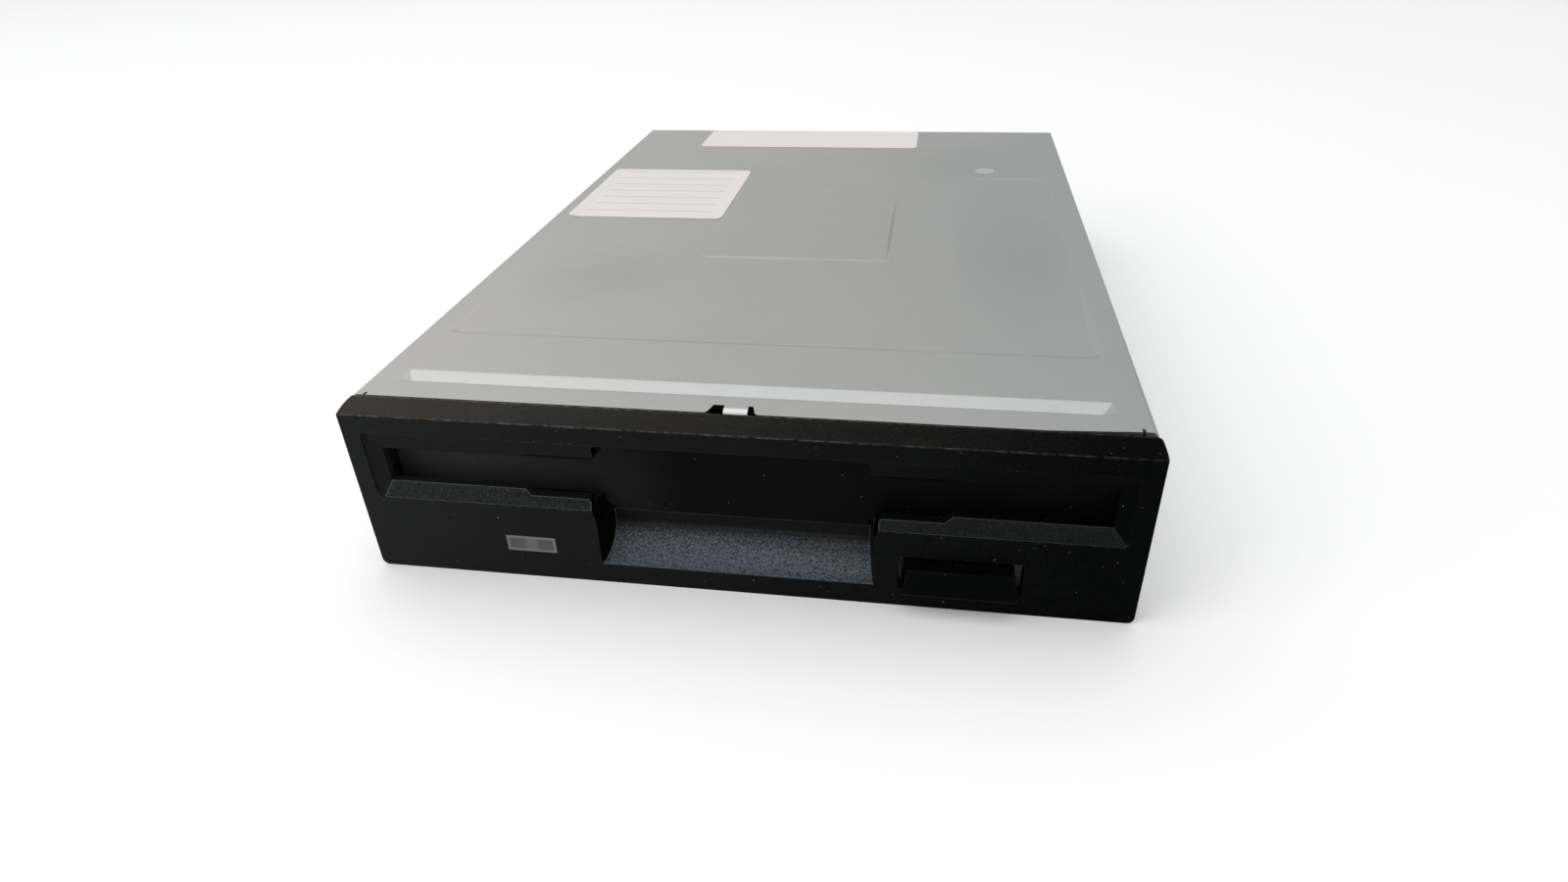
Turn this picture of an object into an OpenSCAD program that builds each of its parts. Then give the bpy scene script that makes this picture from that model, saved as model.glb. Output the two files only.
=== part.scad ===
// Slim drive for 3.5-inch diskettes, as the pieces it comes apart into. Lengths are in millimetres.
// X points to the right, Y to the back and Z up. The origin lies under the middle of the drive.
// Inside the modules, Y is counted from the bezel's front face.

/* [Diskette and tracks] */
// Width of the diskette shell
disk_w = 90; // [86:0.5:94]
// Length of the diskette shell
disk_l = 94; // [92:0.5:96]
// Thickness of the diskette shell
disk_t = 3.3; // [3:0.1:3.8]
// Play between the diskette and each side of its carrier
disk_play = 0.6; // [0.3:0.1:1]
// Play above the diskette in its carrier
disk_room = 1; // [0.8:0.1:1.6]
// Distance from the spindle to the diskette's leading edge
hub_to_lead = 46.6; // [46:0.1:48]
// Radius of the outermost track
track_zero_r = 39.5; // [38.5:0.1:41]
// Distance between the outermost and the innermost track
head_travel = 14.8; // [13:0.1:15]
// Distance from the bezel's face to the spindle
spindle_y = 52.5; // [50:0.5:56]

/* [Sheets and walls] */
// Wall of the cast frame
frame_t = 1; // [0.8:0.1:1.4]
// Sheet of the top cover
cover_t = 0.7; // [0.5:0.05:1]
// Sheet of the disk carrier
carrier_t = 0.8; // [0.6:0.1:1]
// Sheet of the lips under the diskette
lip_t = 0.6; // [0.4:0.1:1]
// Sheet of the slider plate
slider_t = 0.8; // [0.6:0.1:1]
// Sheet of the trigger lever
lever_t = 0.7; // [0.5:0.1:1]
// Gap between sheets that slide past each other
slide_gap = 0.3; // [0.2:0.05:0.6]
// Gap between the carrier, the slider's ears and the frame
side_gap = 0.6; // [0.4:0.1:1]
// Gap between the frame's walls and the cover's sides
cover_gap = 0.25; // [0.1:0.05:0.5]
// Gap around a piece that is fixed in a hole
fit = 0.02; // [0.01:0.01:0.05]
// Radial clearance of a shaft or pin that runs in a hole
run = 0.05; // [0.02:0.01:0.1]

/* [Front bezel] */
// Thickness of the front wall
bezel_wall = 2.2; // [1.8:0.1:2.6]
// Depth of the rim behind the front face
bezel_rim = 3.3; // [3:0.1:3.6]
// How far the bezel stands out past the cover on each side
bezel_lip = 0.45; // [0.2:0.05:0.8]
// Wall of the rim
rim_t = 1.5; // [1:0.1:2]
// How much lower the top is at the front than at the cover
bezel_fall = 1.05; // [0.3:0.05:1.6]
// Radius of the bezel's corners
bezel_r = 1; // [0.5:0.1:1.5]
// Depth of the shallow dish around the slot
dish_d = 1.1; // [0.6:0.1:1.5]
// Depth of the sharp step along the dish's rim
dish_step = 0.2; // [0.05:0.05:0.4]
// Height of the dish below and above the slot
dish_rise = [2.25, 2.8]; // [1.5:0.05:3.5]
// Width of the dish beside the slot
dish_side = 1.85; // [1:0.05:2]
// Height of the slot at its ends
slot_h = 5.1; // [4.8:0.1:5.4]
// How far the slot's middle lies above the diskette's
slot_rise = 0.15; // [0:0.05:0.4]
// How far the slot reaches past the diskette on each side
slot_play = 1.55; // [1:0.05:1.6]
// Half width of the taller middle stretch of the slot
slot_step_x = 26.7; // [24:0.1:30]
// Extra height of the middle stretch, below and above
slot_step = [0.8, 0.4]; // [0.2:0.05:1]
// Half width of the thumb notch above the slot
notch_x = 17.5; // [14:0.1:20]
// Half width of the finger scoop
scoop_x = 18.15; // [15:0.05:20]
// How much narrower the scoop is at its back, on each side
scoop_taper = 0.85; // [0.2:0.05:1.2]
// How far the strips beside the scoop end short of it
strip_end = 0.45; // [0.2:0.05:0.8]
// Height of the scoop's lower edge
scoop_z = 3.1; // [2.6:0.1:4]
// Radius of the scoop's hollow
scoop_r = 4.6; // [4:0.1:5]
// Distance of the activity window's middle from the bezel's left end
lens_in = 23; // [22.5:0.1:25]
// Half width of the activity window
lens_w = 3.48; // [3:0.01:4]
// Lower and upper edge of the activity window
lens_z = [4.25, 6.77]; // [3.5:0.01:7.5]
// Middle and half width of the button hole
button_x = [28.95, 7.75]; // [5:0.05:30]
// Lower and upper edge of the button hole
button_z = [2.75, 8]; // [2.6:0.05:8.4]

/* [Dust door] */
// Thickness of the door
door_t = 1.2; // [0.8:0.1:1.4]
// Distance from the front wall to the door
door_gap = 2.2; // [1.8:0.1:2.6]
// Height of the hinge above the diskette on its way in
door_rise = 4.2; // [4:0.1:4.6]
// How far the door opens
door_swing = 78; // [60:1:80]
// Diameter of the door's hinge pins
door_pin_d = 1.6; // [1.2:0.1:1.8]

/* [Eject gear] */
// Travel of the eject button and the slider
eject_travel = 5.5; // [4.5:0.1:6]
// How far the carrier drops
lift = 3.3; // [2.8:0.1:3.6]
// Diameter of the carrier's pins
pin_d = 2; // [1.6:0.1:2.4]
// How far the button's lower edge stands out of the bezel
button_proud = 2.2; // [1.8:0.1:3.5]
// How far the button's upper edge lies behind its lower one
button_slant = 0.2; // [0:0.1:0.8]
// How much narrower the button is at its top, on each side
button_taper = 0.7; // [0:0.1:1]
// Gap around the button in its hole, at the sides and below
button_gap = [0.5, 0.5]; // [0.2:0.05:1]
// Mean radius of the eject springs
spring_r = 1.5; // [1.2:0.1:1.8]
// Wire of the eject springs
spring_wire = 0.5; // [0.4:0.05:0.6]
// Turns of each eject spring
spring_turns = 16.5; // [10.5:1:18.5]
// Length of the trigger lever from its post to its finger
lever_l = 21.2; // [20:0.1:22]
// Swing of the trigger lever
lever_swing = 46; // [40:1:48]
// Diameter of the lever's post
post_d = 3; // [2.4:0.1:3.6]

/* [Spindle motor] */
// Diameter of the rotor cup
rotor_d = 46; // [42:0.5:47]
// Diameter of the hub that takes the diskette
hub_d = 26; // [24:0.5:28]
// Diameter of the shaft
shaft_d = 3; // [2.5:0.1:3.5]
// Number of stator poles
poles = 12; // [6:3:15]

/* [Head drive] */
// Diameter of the guide rod
rod_d = 3; // [2.5:0.1:3.4]
// Diameter of the lead screw
screw_d = 3; // [2.5:0.1:3.4]
// Diameter of the stepper motor
stepper_d = 15; // [13:0.5:15.5]
// Length of the stepper motor's can
stepper_l = 14; // [12:0.5:18]
// Distance from the heads to the arm's hinge
arm_l = 25; // [24:0.5:28]
// How far the upper arm comes down
arm_swing = 12; // [11:0.5:12.5]

/* [Boards and connectors] */
// Thickness of the circuit boards
board_t = 1.2; // [0.8:0.1:1.6]
// Height of the boards above the frame's flanges
board_gap = 0.8; // [0.5:0.1:1.2]
// Room between the boards and the deck
deck_room = 4; // [3.9:0.1:5]
// Columns of pins in the data connector
data_columns = 17; // [13:1:17]
// Spacing of the data pins
data_pitch = 2.54; // [2:0.01:2.54]
// Spacing of the power pins
power_pitch = 2.5; // [2:0.1:2.5]
// Thickness of a pin
pin_t = 0.64; // [0.4:0.02:0.8]

/* [Mounting holes] */
// Core diameter of the mounting threads
mount_d = 2.5; // [2:0.1:3]
// Distances of the side holes behind the bezel
side_holes_y = [21, 91]; // [15:0.5:100]
// Height of the side holes
side_holes_z = 5; // [4.8:0.1:6]
// Distances of the bottom holes behind the bezel
bottom_holes_y = [31, 91]; // [25:0.5:100]
// Distance of the bottom holes from the drive's sides
bottom_hole_in = 4.35; // [3.9:0.05:5]

/* [Hidden] */
$fn = 48;
// Heights, from the frame's foot upwards
board_z = [frame_t + board_gap, frame_t + board_gap + board_t];
deck_z = [board_z[1] + deck_room, board_z[1] + deck_room + frame_t];
slider_z = [deck_z[1] + slide_gap, deck_z[1] + slide_gap + slider_t];
lever_z = [slider_z[1] + 2 * slide_gap, slider_z[1] + 2 * slide_gap + lever_t];
lip_z = lever_z[1] + slide_gap + lift;
disk_z = lip_z + lip_t;
tray_z = [disk_z + disk_t + disk_room, disk_z + disk_t + disk_room + carrier_t];
arm_z = tray_z[1] + 0.1;
head_space = 5;
cover_z = [tray_z[1] + head_space, tray_z[1] + head_space + cover_t];
shelf_z = deck_z[1] + 4;
wall_top = cover_z[0] - 2.7;
pin_z = disk_z + 2.2;
// Half widths, from the diskette outwards
tray_x = [disk_w / 2 + disk_play, disk_w / 2 + disk_play + carrier_t];
ear_x = [tray_x[1] + side_gap, tray_x[1] + side_gap + slider_t];
wall_x = [ear_x[1] + side_gap, ear_x[1] + side_gap + frame_t];
cover_x = [wall_x[1] + cover_gap, wall_x[1] + cover_gap + cover_t];
foot_x = [cover_x[1] - frame_t, cover_x[1]];
bezel_x = cover_x[1] + bezel_lip;
lens_x = [lens_in - bezel_x, lens_w];
bottom_holes_w = 2 * (cover_x[1] - bottom_hole_in);
flange_x = foot_x[0] - 7.3;
// Places along the drive, from the bezel's face to the back
lead_y = spindle_y + hub_to_lead;
tail_y = lead_y - disk_l;
head_y = spindle_y + track_zero_r;
frame_y = bezel_rim + 0.3;
cover_y = bezel_rim + 0.1;
door_y = [bezel_wall + door_gap, bezel_wall + door_gap + door_t];
deck_y = spindle_y - 31.5;
tray_y = [spindle_y - 28.5, lead_y + 6.9];
pins_y = [spindle_y - 18.5, spindle_y + 39.5];
hinge_y = head_y + arm_l;
block_y = [hinge_y - 3.5, hinge_y + 8.5];
sleeve_y = hinge_y - 0.4;
bracket_y = [block_y[1] + 1, block_y[1] + 1 + frame_t];
flange_t = 0.8;
can_y = [bracket_y[1] + flange_t, bracket_y[1] + flange_t + stepper_l];
body_l = can_y[1] + 3.4 + frame_t;
ear_y = [lead_y + 0.2, lead_y + 2.2];
deck_end = bracket_y[1] + 3.1;
face_y = (button_proud - body_l) / 2;
// Slot and dish of the bezel, round the diskette on its way in
slot_x = disk_w / 2 + slot_play;
slot_mid = disk_z + disk_t / 2 + slot_rise;
slot_z = [slot_mid - slot_h / 2, slot_mid + slot_h / 2];
dish_z = [slot_z[0] - dish_rise[0], slot_z[1] + dish_rise[1]];
notch_z = dish_z[1] - 0.1;
// Dust door and its hinge
hinge_gap = 0.3;
door_x = slot_x + 0.35;
door_axis = [door_y[1], disk_z + disk_t + door_rise];
door_low = [scoop_z + scoop_r + 1.5, slot_z[0] - 1.75];
knuckle_r = door_pin_d / 2 + 0.1;
hinge_ear_x = [door_x + hinge_gap, door_x + hinge_gap + 1];
door_spring_x = [-33, -28];
// Slider, button and eject springs
slider_y = [deck_y + 1, pins_y[1] + 9.5];
strip_x = disk_w / 2 - 7;
tongue_z = [(button_z[0] + button_z[1]) / 2 - 0.5, (button_z[0] + button_z[1]) / 2 - 0.5 + slider_t];
tongue_x = [button_x[0] - 5.8, button_x[0] + 5.8];
tongue_y = 6.5;
button_back = 12;
stop_y = [eject_travel + bezel_rim, eject_travel + bezel_rim + 1.2];
button_body_x = [button_x[0] - button_x[1] + button_gap[0], button_x[0] + button_x[1] - button_gap[0]];
button_body_z = [button_z[0] + button_gap[1], button_z[1] - button_gap[1]];
spring_x = foot_x[0] - 3.8;
spring_y = [spindle_y + 3.5, spindle_y + 31];
spring_z = (board_z[1] + deck_z[0]) / 2 - 0.2;
spring_run = 2 * spring_wire;
lug_z = spring_z + spring_run + 0.05;
lug_at_x = [spring_x - spring_r - 0.8, spring_x - spring_r + 0.9];
studs = [[strip_x + 4, spindle_y - 7.5], [strip_x + 4, spindle_y + 19.5]];
stud_r = 1.4;
// Trigger lever
lever_post_xy = [2 - disk_w / 2, lead_y + 10];
lever_rest = -70.7;
finger_r = 1.2;
finger = lever_post_xy + lever_l * [cos(lever_rest), sin(lever_rest)];
finger_top = disk_z + 2.8;
// Spindle motor
cup_t = 0.8;
cup_z = [board_z[1] + 0.7, deck_z[1] + 0.2];
magnet_w = 2.2;
air_gap = 0.6;
stator_r = rotor_d / 2 - cup_t - magnet_w - air_gap;
stator_in_r = 8;
stator_z = [board_z[1] + 1.2, board_z[1] + 2.6];
hub_top = disk_z - lift - 0.1;
bearing_r = shaft_d / 2 + 2.1;
drive_pin_r = 10;
// Head drive
rod_at = [13, deck_z[1] + 0.4 + 1 + rod_d / 2];
rod_seats_y = [ear_y[0] + 0.1, bracket_y[1] - 0.3];
stepper_hole_x = stepper_d / 2 + 2.1;
journal_r = screw_d / 2 - 0.5;
block_x = 9.9;
lug_x = [8, block_x];
block_z = [deck_z[1] + 0.4, tray_z[0] - 2.2];
tongue_w = 7;
carriage_z = [deck_z[1] + 1.2, disk_z - lift - 0.5];
head_z = disk_z - lift + 1.6;
head_half = [3.5, 4];
arm_axis = [hinge_y, arm_z];
arm_pin_d = 2;
flag_x = rod_at[0] + 11;
sensor_x = flag_x;
// Connectors, counted from the back
data_x = [foot_x[0] - 2.37 - data_columns * data_pitch - 7.8, foot_x[0] - 2.37];
data_z = [board_z[1], board_z[1] + 9];
data_y = body_l - 10.5;
shell_t = 1.1;
data_rows_z = [board_z[1] + 3.2, board_z[1] + 3.2 + 2.54];
data_legs_y = [data_y - 1.6, data_y - 4.2];
power_x = [4.35 - foot_x[0], 18.35 - foot_x[0]];
power_z = [board_z[1], board_z[1] + 6.4];
power_y = body_l - 9.2;
power_row_z = board_z[1] + 3.2;
power_leg_y = power_y - 1.6;
pin_tip = 1.5;
// The lead screw and its motor, midway between the two connectors
screw_at = [(power_x[1] + data_x[0]) / 2, deck_z[1] + 3.5];
boards_y = [[tail_y + 4.9, tail_y + 14.9], [body_l - 46, body_l - frame_t - 0.2]];
board_x = foot_x[0] - 0.5;
motor_board_x = 36;
motor_board_y = [spindle_y - 30.5, spindle_y + 33.5];
screw_spots = [for (y = [boards_y[0][0] + 5, boards_y[1][0] + 5, boards_y[1][0] + 24]) [foot_x[0] - 3.8, y]];
motor_spots = [for (x = [-32, 32]) for (y = [-26.5, 29.5]) [x, spindle_y + y]];
switch_y = tail_y + 8.9;
switch_xs = [-disk_w / 2 + 10, disk_w / 2 - 4, -disk_w / 2 + 4];
switch_z = board_z[1] + 5.2;
plunger_r = 0.9;
plunger_z = [board_z[1] + 2.8, disk_z - lift + 1];
mount_side_y = [for (y = side_holes_y) bezel_rim + y];
mount_bottom_y = [for (y = bottom_holes_y) bezel_rim + y];
boss_top = side_holes_z - mount_d / 2 - 0.5;
latch_y = [10.5, 12.5];
latch_z = [slot_z[0] + 1, slot_z[0] + 5];
clips_y = [20, 74, 128];

// Everything is drawn from the bezel's face, then centred
module drive() { translate([0, face_y, 0]) children(); }
// A straight block between two limits on each axis
module block(x, y, z) {
    translate([x[0], y[0], z[0]]) cube([x[1] - x[0], y[1] - y[0], z[1] - z[0]]);
}
// The same on the left and on the right
module pair() {
    children();
    mirror([1, 0, 0]) children();
}
// Round bars along each axis, at a place on the other two
module rod_x(x, r, at) { translate([x[0], at[0], at[1]]) rotate([0, 90, 0])
    cylinder(h = x[1] - x[0], r = r); }
module rod_y(y, r, at) { translate([at[0], y[0], at[1]]) rotate([-90, 0, 0])
    cylinder(h = y[1] - y[0], r = r); }
module rod_z(z, r, at) { translate([at[0], at[1], z[0]]) cylinder(h = z[1] - z[0], r = r); }
// A flat outline with thickness along each axis
module along_x(x) { translate([x[0], 0, 0]) rotate([90, 0, 90]) linear_extrude(x[1] - x[0]) children(); }
module along_y(y) { translate([0, y[1], 0]) rotate([90, 0, 0]) linear_extrude(y[1] - y[0]) children(); }
module along_z(z) { translate([0, 0, z[0]]) linear_extrude(z[1] - z[0]) children(); }
module flat(u, v) { translate([u[0], v[0]]) square([u[1] - u[0], v[1] - v[0]]); }
// An outline with round corners
module rounded(u, v, r) {
    flat([u[0] + r, u[1] - r], v);
    flat(u, [v[0] + r, v[1] - r]);
    for (a = [u[0] + r, u[1] - r]) for (b = [v[0] + r, v[1] - r]) translate([a, b]) circle(r);
}
// A round-ended slot through a wall, between two places on (Y, Z)
module slot_through(x, p, q, r) {
    run_l = norm(q - p);
    rod_x(x, r, p);
    rod_x(x, r, q);
    translate([x[0], p[0], p[1]]) rotate([atan2(q[1] - p[1], q[0] - p[0]), 0, 0])
        translate([0, 0, 0.01 - r]) cube([x[1] - x[0], run_l, 2 * r - 0.02]);
}

// Points of a coil about Z whose ends run straight to a point given from the coil's first and last point
function coil(r, turns, pitch, start, end) = concat(
    [[r, 0, 0] + start],
    [for (i = [0 : turns * 8]) [r * cos(45 * i), r * sin(45 * i), pitch * i / 8]],
    [let (a = 360 * turns) [r * cos(a), r * sin(a), pitch * turns] + end]);
function unit(v) = v / norm(v);
// One ring of a wire of six sides, square to its path; the coil's own axis is Z
function ring(p, i, r) = let (
    last = len(p) - 1,
    along = unit(p[min(i + 1, last)] - p[max(i - 1, 0)]),
    side = unit(cross(along, [0, 0, 1])),
    up = cross(side, along))
    [for (k = [0 : 5]) p[i] + r * (cos(60 * k) * side + sin(60 * k) * up)];
module wire(p, r) {
    n = len(p);
    rings = [for (i = [0 : n - 1]) each ring(p, i, r)];
    sides = [for (i = [0 : n - 2]) for (k = [0 : 5]) let (
        a = 6 * i + k, b = 6 * i + (k + 1) % 6) each [[a, b, b + 6], [a, b + 6, a + 6]]];
    start = [for (k = [1 : 4]) [0, k + 1, k]];
    end = [for (k = [1 : 4]) [6 * n - 6, 6 * n - 6 + k, 6 * n - 5 + k]];
    polyhedron(concat(rings, []), concat(sides, start, end), convexity = 10);
}
spring_pitch = (spring_y[1] - spring_y[0]) / spring_turns;
// Least gap between neighbouring turns, measured on the coil's own points
coil_points = coil(spring_r, spring_turns, spring_pitch, [0, -spring_run, 0], [0, -spring_run, 0]);
coil_gap = min([for (i = [1 : len(coil_points) - 10])
    norm(coil_points[i + 8] - coil_points[i])]) - spring_wire;
echo(eject_spring_gap_mm = coil_gap);

module chassis_profile() {
    flat([flange_x, foot_x[1]], [0, frame_t]);
    flat(foot_x, [0, shelf_z]);
    flat([wall_x[0], foot_x[1]], [shelf_z - frame_t, shelf_z]);
    flat(wall_x, [shelf_z - frame_t, wall_top]);
}

module chassis_walls() {
    pair() along_y([frame_y, body_l]) chassis_profile();
    block([-foot_x[0] - 0.5, foot_x[0] + 0.5], [deck_y, deck_end], deck_z);
    block([-foot_x[0] - 0.5, foot_x[0] + 0.5], [body_l - frame_t, body_l], [0, shelf_z]);
    block([-wall_x[1], wall_x[1]], [body_l - frame_t, body_l], [shelf_z - frame_t, shelf_z + 1]);
    pair() for (p = screw_spots) rod_z([0, board_z[0]], 2.4, p);
    for (p = motor_spots) rod_z([board_z[1], deck_z[1] - 0.2], 2.4, p);
    pair() for (y = mount_side_y) rod_x([foot_x[0] - 2.8, foot_x[1]], 2.8, [y, side_holes_z]);
    pair() for (y = mount_bottom_y) rod_z([0, boss_top], 2.8, [bottom_holes_w / 2, y]);
    pair() block([spring_x - 0.6, spring_x + spring_r + 1], [spring_y[0] - 0.8, spring_y[0] + 0.8],
        [lug_z, deck_z[1] - 0.2]);
    block([screw_at[0] - stepper_hole_x - 2.6, screw_at[0] + stepper_hole_x + 2.6], bracket_y,
        [deck_z[1] - 0.5, screw_at[1] + 8.5]);
    block([screw_at[0] - 3, screw_at[0] + 3], ear_y, [deck_z[1] - 0.5, screw_at[1] + 2.6]);
    for (y = rod_seats_y) block([rod_at[0] - 2.5, rod_at[0] + 2.5], [y, y + 1.8],
        [deck_z[1] - 0.5, rod_at[1]]);
    pair() for (y = clips_y) along_z([shelf_z + 3, shelf_z + 5])
        polygon([[wall_x[1] - 0.2, y - 3], [cover_x[1] - 0.15, y - 2], [cover_x[1] - 0.15, y + 2],
            [wall_x[1] - 0.2, y + 3]]);
}

module chassis_frame() color("gainsboro") drive() difference() {
    chassis_walls();
    rod_z([deck_z[0] - 1, deck_z[1] + 1], rotor_d / 2 + 2, [0, spindle_y]);
    block([-tongue_w - 2, tongue_w + 2], [spindle_y + rotor_d / 2 + 6, ear_y[0] - 2],
        [deck_z[0] - 1, deck_z[1] + 1]);
    block([screw_at[0] - 9, screw_at[0] + 9], [bracket_y[1], deck_end + 1], [deck_z[0] - 1, deck_z[1] + 1]);
    pair() block([lug_at_x[0] - 0.5, lug_at_x[1] + 0.5],
        [spring_y[1] - eject_travel - 1.3, spring_y[1] + 1.3],
        [deck_z[0] - 1, deck_z[1] + 1]);
    rod_z([deck_z[0] - 1, deck_z[1] + 1], post_d / 2 + fit, lever_post_xy);
    pair() for (p = studs) rod_z([deck_z[0] - 1, deck_z[1] + 1], stud_r + fit, p);
    rod_y([bracket_y[0] - 1, bracket_y[1] + 1], 4 + fit, screw_at);
    rod_y([ear_y[0] - 1, ear_y[1] + 1], journal_r + 0.9 + fit, screw_at);
    for (s = [-1, 1]) rod_y([bracket_y[0] - 1, bracket_y[1] + 1], 0.8 + fit,
        screw_at + [stepper_hole_x * s, 0]);
    rod_y([ear_y[0], body_l - 10], rod_d / 2 + fit, rod_at);
    pair() for (p = screw_spots) rod_z([0.3, board_z[0] + 1], 1 + fit, p);
    for (p = motor_spots) rod_z([board_z[1] - 1, deck_z[0] - 0.5], 0.8 + fit, p);
    pair() for (y = mount_side_y) rod_x([foot_x[0] - 3.8, foot_x[1] + 1], mount_d / 2, [y, side_holes_z]);
    pair() for (y = mount_bottom_y) rod_z([-1, boss_top + 0.02], mount_d / 2, [bottom_holes_w / 2, y]);
    pair() for (y = pins_y) slot_through([wall_x[0] - 1, wall_x[1] + 0.02], [y, pin_z], [y, pin_z - lift],
        pin_d / 2 + 0.1);
    pair() block([wall_x[0] - 1, wall_x[1] + 1], [latch_y[0] - 0.2, latch_y[1] + 0.3],
        [latch_z[0] - 0.2, latch_z[1] + 0.2]);
    block([data_x[0] - 0.2, data_x[1] + 0.2], [body_l - 2 * frame_t, body_l + 1],
        [data_z[0] - 0.2, data_z[1] + 0.2]);
    block([power_x[0] - 0.2, power_x[1] + 0.2], [body_l - 2 * frame_t, body_l + 1],
        [power_z[0] - 0.2, power_z[1] + 0.2]);
    block([screw_at[0] - 7, screw_at[0] + 7], [body_l - 2 * frame_t, body_l + 1],
        [board_z[1] + 1, shelf_z + 2]);
}

// Pressed marks of the cover: a bead near the front, a sunk panel round the heads' plain window, a dimple
bead_y = [7.8, 11];
bead_x = 46;
bead_d = 0.7;
panel_x = 46.4;
panel_y = [22.9, 106.2];
panel_d = 0.35;
window_x = 16.2;
window_y = 57.2;
dimple_at = [33.4, 111.9];
dimple_r = 2.15;
cover_notch_x = 3.1;
notch_d = 2.15;
tab_x = [-1.1, 1.95];

module bead(spread, depth) {
    tip = (bead_y[1] - bead_y[0]) / 2;
    middle = (bead_y[0] + bead_y[1]) / 2;
    half = tip + spread;
    hull() for (s = [[half, 0], [half * 0.45, depth]]) translate([0, middle, cover_z[1] - s[1] - 0.01])
        linear_extrude(0.02) polygon([for (k = [0 : 5])
            let (e = k == 0 || k == 3 ? s[0] : 0, u = k < 2 || k > 4 ? 1 : -1)
            [u * (bead_x - half + e), k == 0 || k == 3 ? 0 : (k < 3 ? s[0] : -s[0])]]);
}

module panel_outline() difference() {
    rounded([-panel_x, panel_x], panel_y, 1.5);
    rounded([-window_x, window_x], [window_y, panel_y[1] + 5], 1.5);
}

module cover_shell() {
    block([-cover_x[1], cover_x[1]], [cover_y, body_l], cover_z);
    pair() block(cover_x, [cover_y, body_l], [shelf_z + 0.3, cover_z[1]]);
    block([-wall_x[0] + 0.4, wall_x[0] - 0.4], [body_l - cover_t, body_l], [shelf_z + 1.3, cover_z[1]]);
    along_z([cover_z[0] - panel_d, cover_z[1]]) panel_outline();
    translate([0, 0, -cover_t]) bead(0.5, bead_d);
    translate([dimple_at[0], dimple_at[1], cover_z[0] - 0.5])
        cylinder(h = 0.6, r1 = dimple_r - 0.6, r2 = dimple_r + 0.4);
}

// The tab in the middle of the front edge, turned down
module cover_tab() {
    front = cover_y + 0.5;
    block(tab_x, [front, front + cover_t], [cover_z[0] - 1.2, cover_z[1]]);
    block(tab_x, [front, cover_y + notch_d + 0.3], cover_z);
}

module top_cover() color("darkgray") drive() {
    cover_tab();
    cover_sheet();
}

module cover_sheet() difference() {
    cover_shell();
    translate([0, 0, cover_z[1] - panel_d]) linear_extrude(1) panel_outline();
    bead(0, bead_d);
    translate([dimple_at[0], dimple_at[1], cover_z[1] - 0.5])
        cylinder(h = 0.51, r1 = dimple_r - 0.7, r2 = dimple_r);
    along_z([cover_z[0] - 2, cover_z[1] + 1]) for (s = [-1, 1]) scale([s, 1])
        polygon([[-0.1, cover_y - 1], [-0.1, cover_y + notch_d], [cover_notch_x - 0.6, cover_y + notch_d],
            [cover_notch_x, cover_y - 0.1], [cover_notch_x, cover_y - 1]]);
    pair() block([cover_x[1] - 1.9, cover_x[1] - 1.5], [cover_y - 1, cover_y + 0.7],
        [shelf_z, cover_z[1] + 1]);
    pair() for (y = clips_y) block([cover_x[0] - 0.5, cover_x[1] + 1], [y - 3.2, y + 3.2],
        [shelf_z + 2.8, shelf_z + 5.2]);
}

module slot_outline() {
    polygon([
        [-slot_x, slot_z[0]], [-slot_step_x - 0.9, slot_z[0]], [-slot_step_x, slot_z[0] - slot_step[0]],
        [slot_step_x, slot_z[0] - slot_step[0]], [slot_step_x + 0.9, slot_z[0]], [slot_x, slot_z[0]],
        [slot_x, slot_z[1]], [slot_step_x + 0.9, slot_z[1]], [slot_step_x, slot_z[1] + slot_step[1]],
        [-slot_step_x, slot_z[1] + slot_step[1]], [-slot_step_x - 0.9, slot_z[1]], [-slot_x, slot_z[1]]]);
    rounded([-notch_x, notch_x], [slot_z[1] - 3, notch_z], 1);
}

module scoop_outline() {
    flat([-2, scoop_r + 0.3], [scoop_z + scoop_r, slot_z[0] + 1]);
    flat([-2, 0.3], [scoop_z, scoop_z + scoop_r + 1]);
    translate([0.3, scoop_z + scoop_r]) circle(scoop_r);
}

// The scoop narrows to the back
module scoop_plan() {
    back = scoop_r + 0.3;
    polygon([[-scoop_x, -2], [scoop_x, -2], [scoop_x, 0], [scoop_x - scoop_taper, back],
        [scoop_taper - scoop_x, back], [-scoop_x, 0]]);
}

// The strip under the slot ends in a round corner, and the scoop's side runs up to it in a curve
module strip_corner() {
    low = dish_z[0];
    top = slot_z[0] - slot_step[0] + 0.01;
    end = scoop_x + strip_end;
    polygon([[scoop_x - 0.1, low - 1.3], [scoop_x, low - 1.3], [scoop_x + strip_end * 0.33, low - 0.85],
        [scoop_x + strip_end * 0.78, low - 0.4], [end, low], [end, top - 0.5], [end + 0.07, top - 0.25],
        [end + 0.25, top - 0.07], [end + 0.5, top], [scoop_x - 0.1, top]]);
}

module dish_outline() { rounded([-slot_x - dish_side, slot_x + dish_side], dish_z, 0.9); }

module bezel_solid() {
    intersection() {
        along_x([-bezel_x, bezel_x]) polygon([[0, 0], [bezel_rim, 0], [bezel_rim, cover_z[1]],
            [0, cover_z[1] - bezel_fall]]);
        along_y([-1, bezel_rim + 1]) rounded([-bezel_x, bezel_x], [0, cover_z[1]], bezel_r);
    }
}

module bezel_inside() {
    block([-bezel_x + rim_t, bezel_x - rim_t], [bezel_wall, bezel_rim + 1], [rim_t, cover_z[1] - rim_t]);
}

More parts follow.
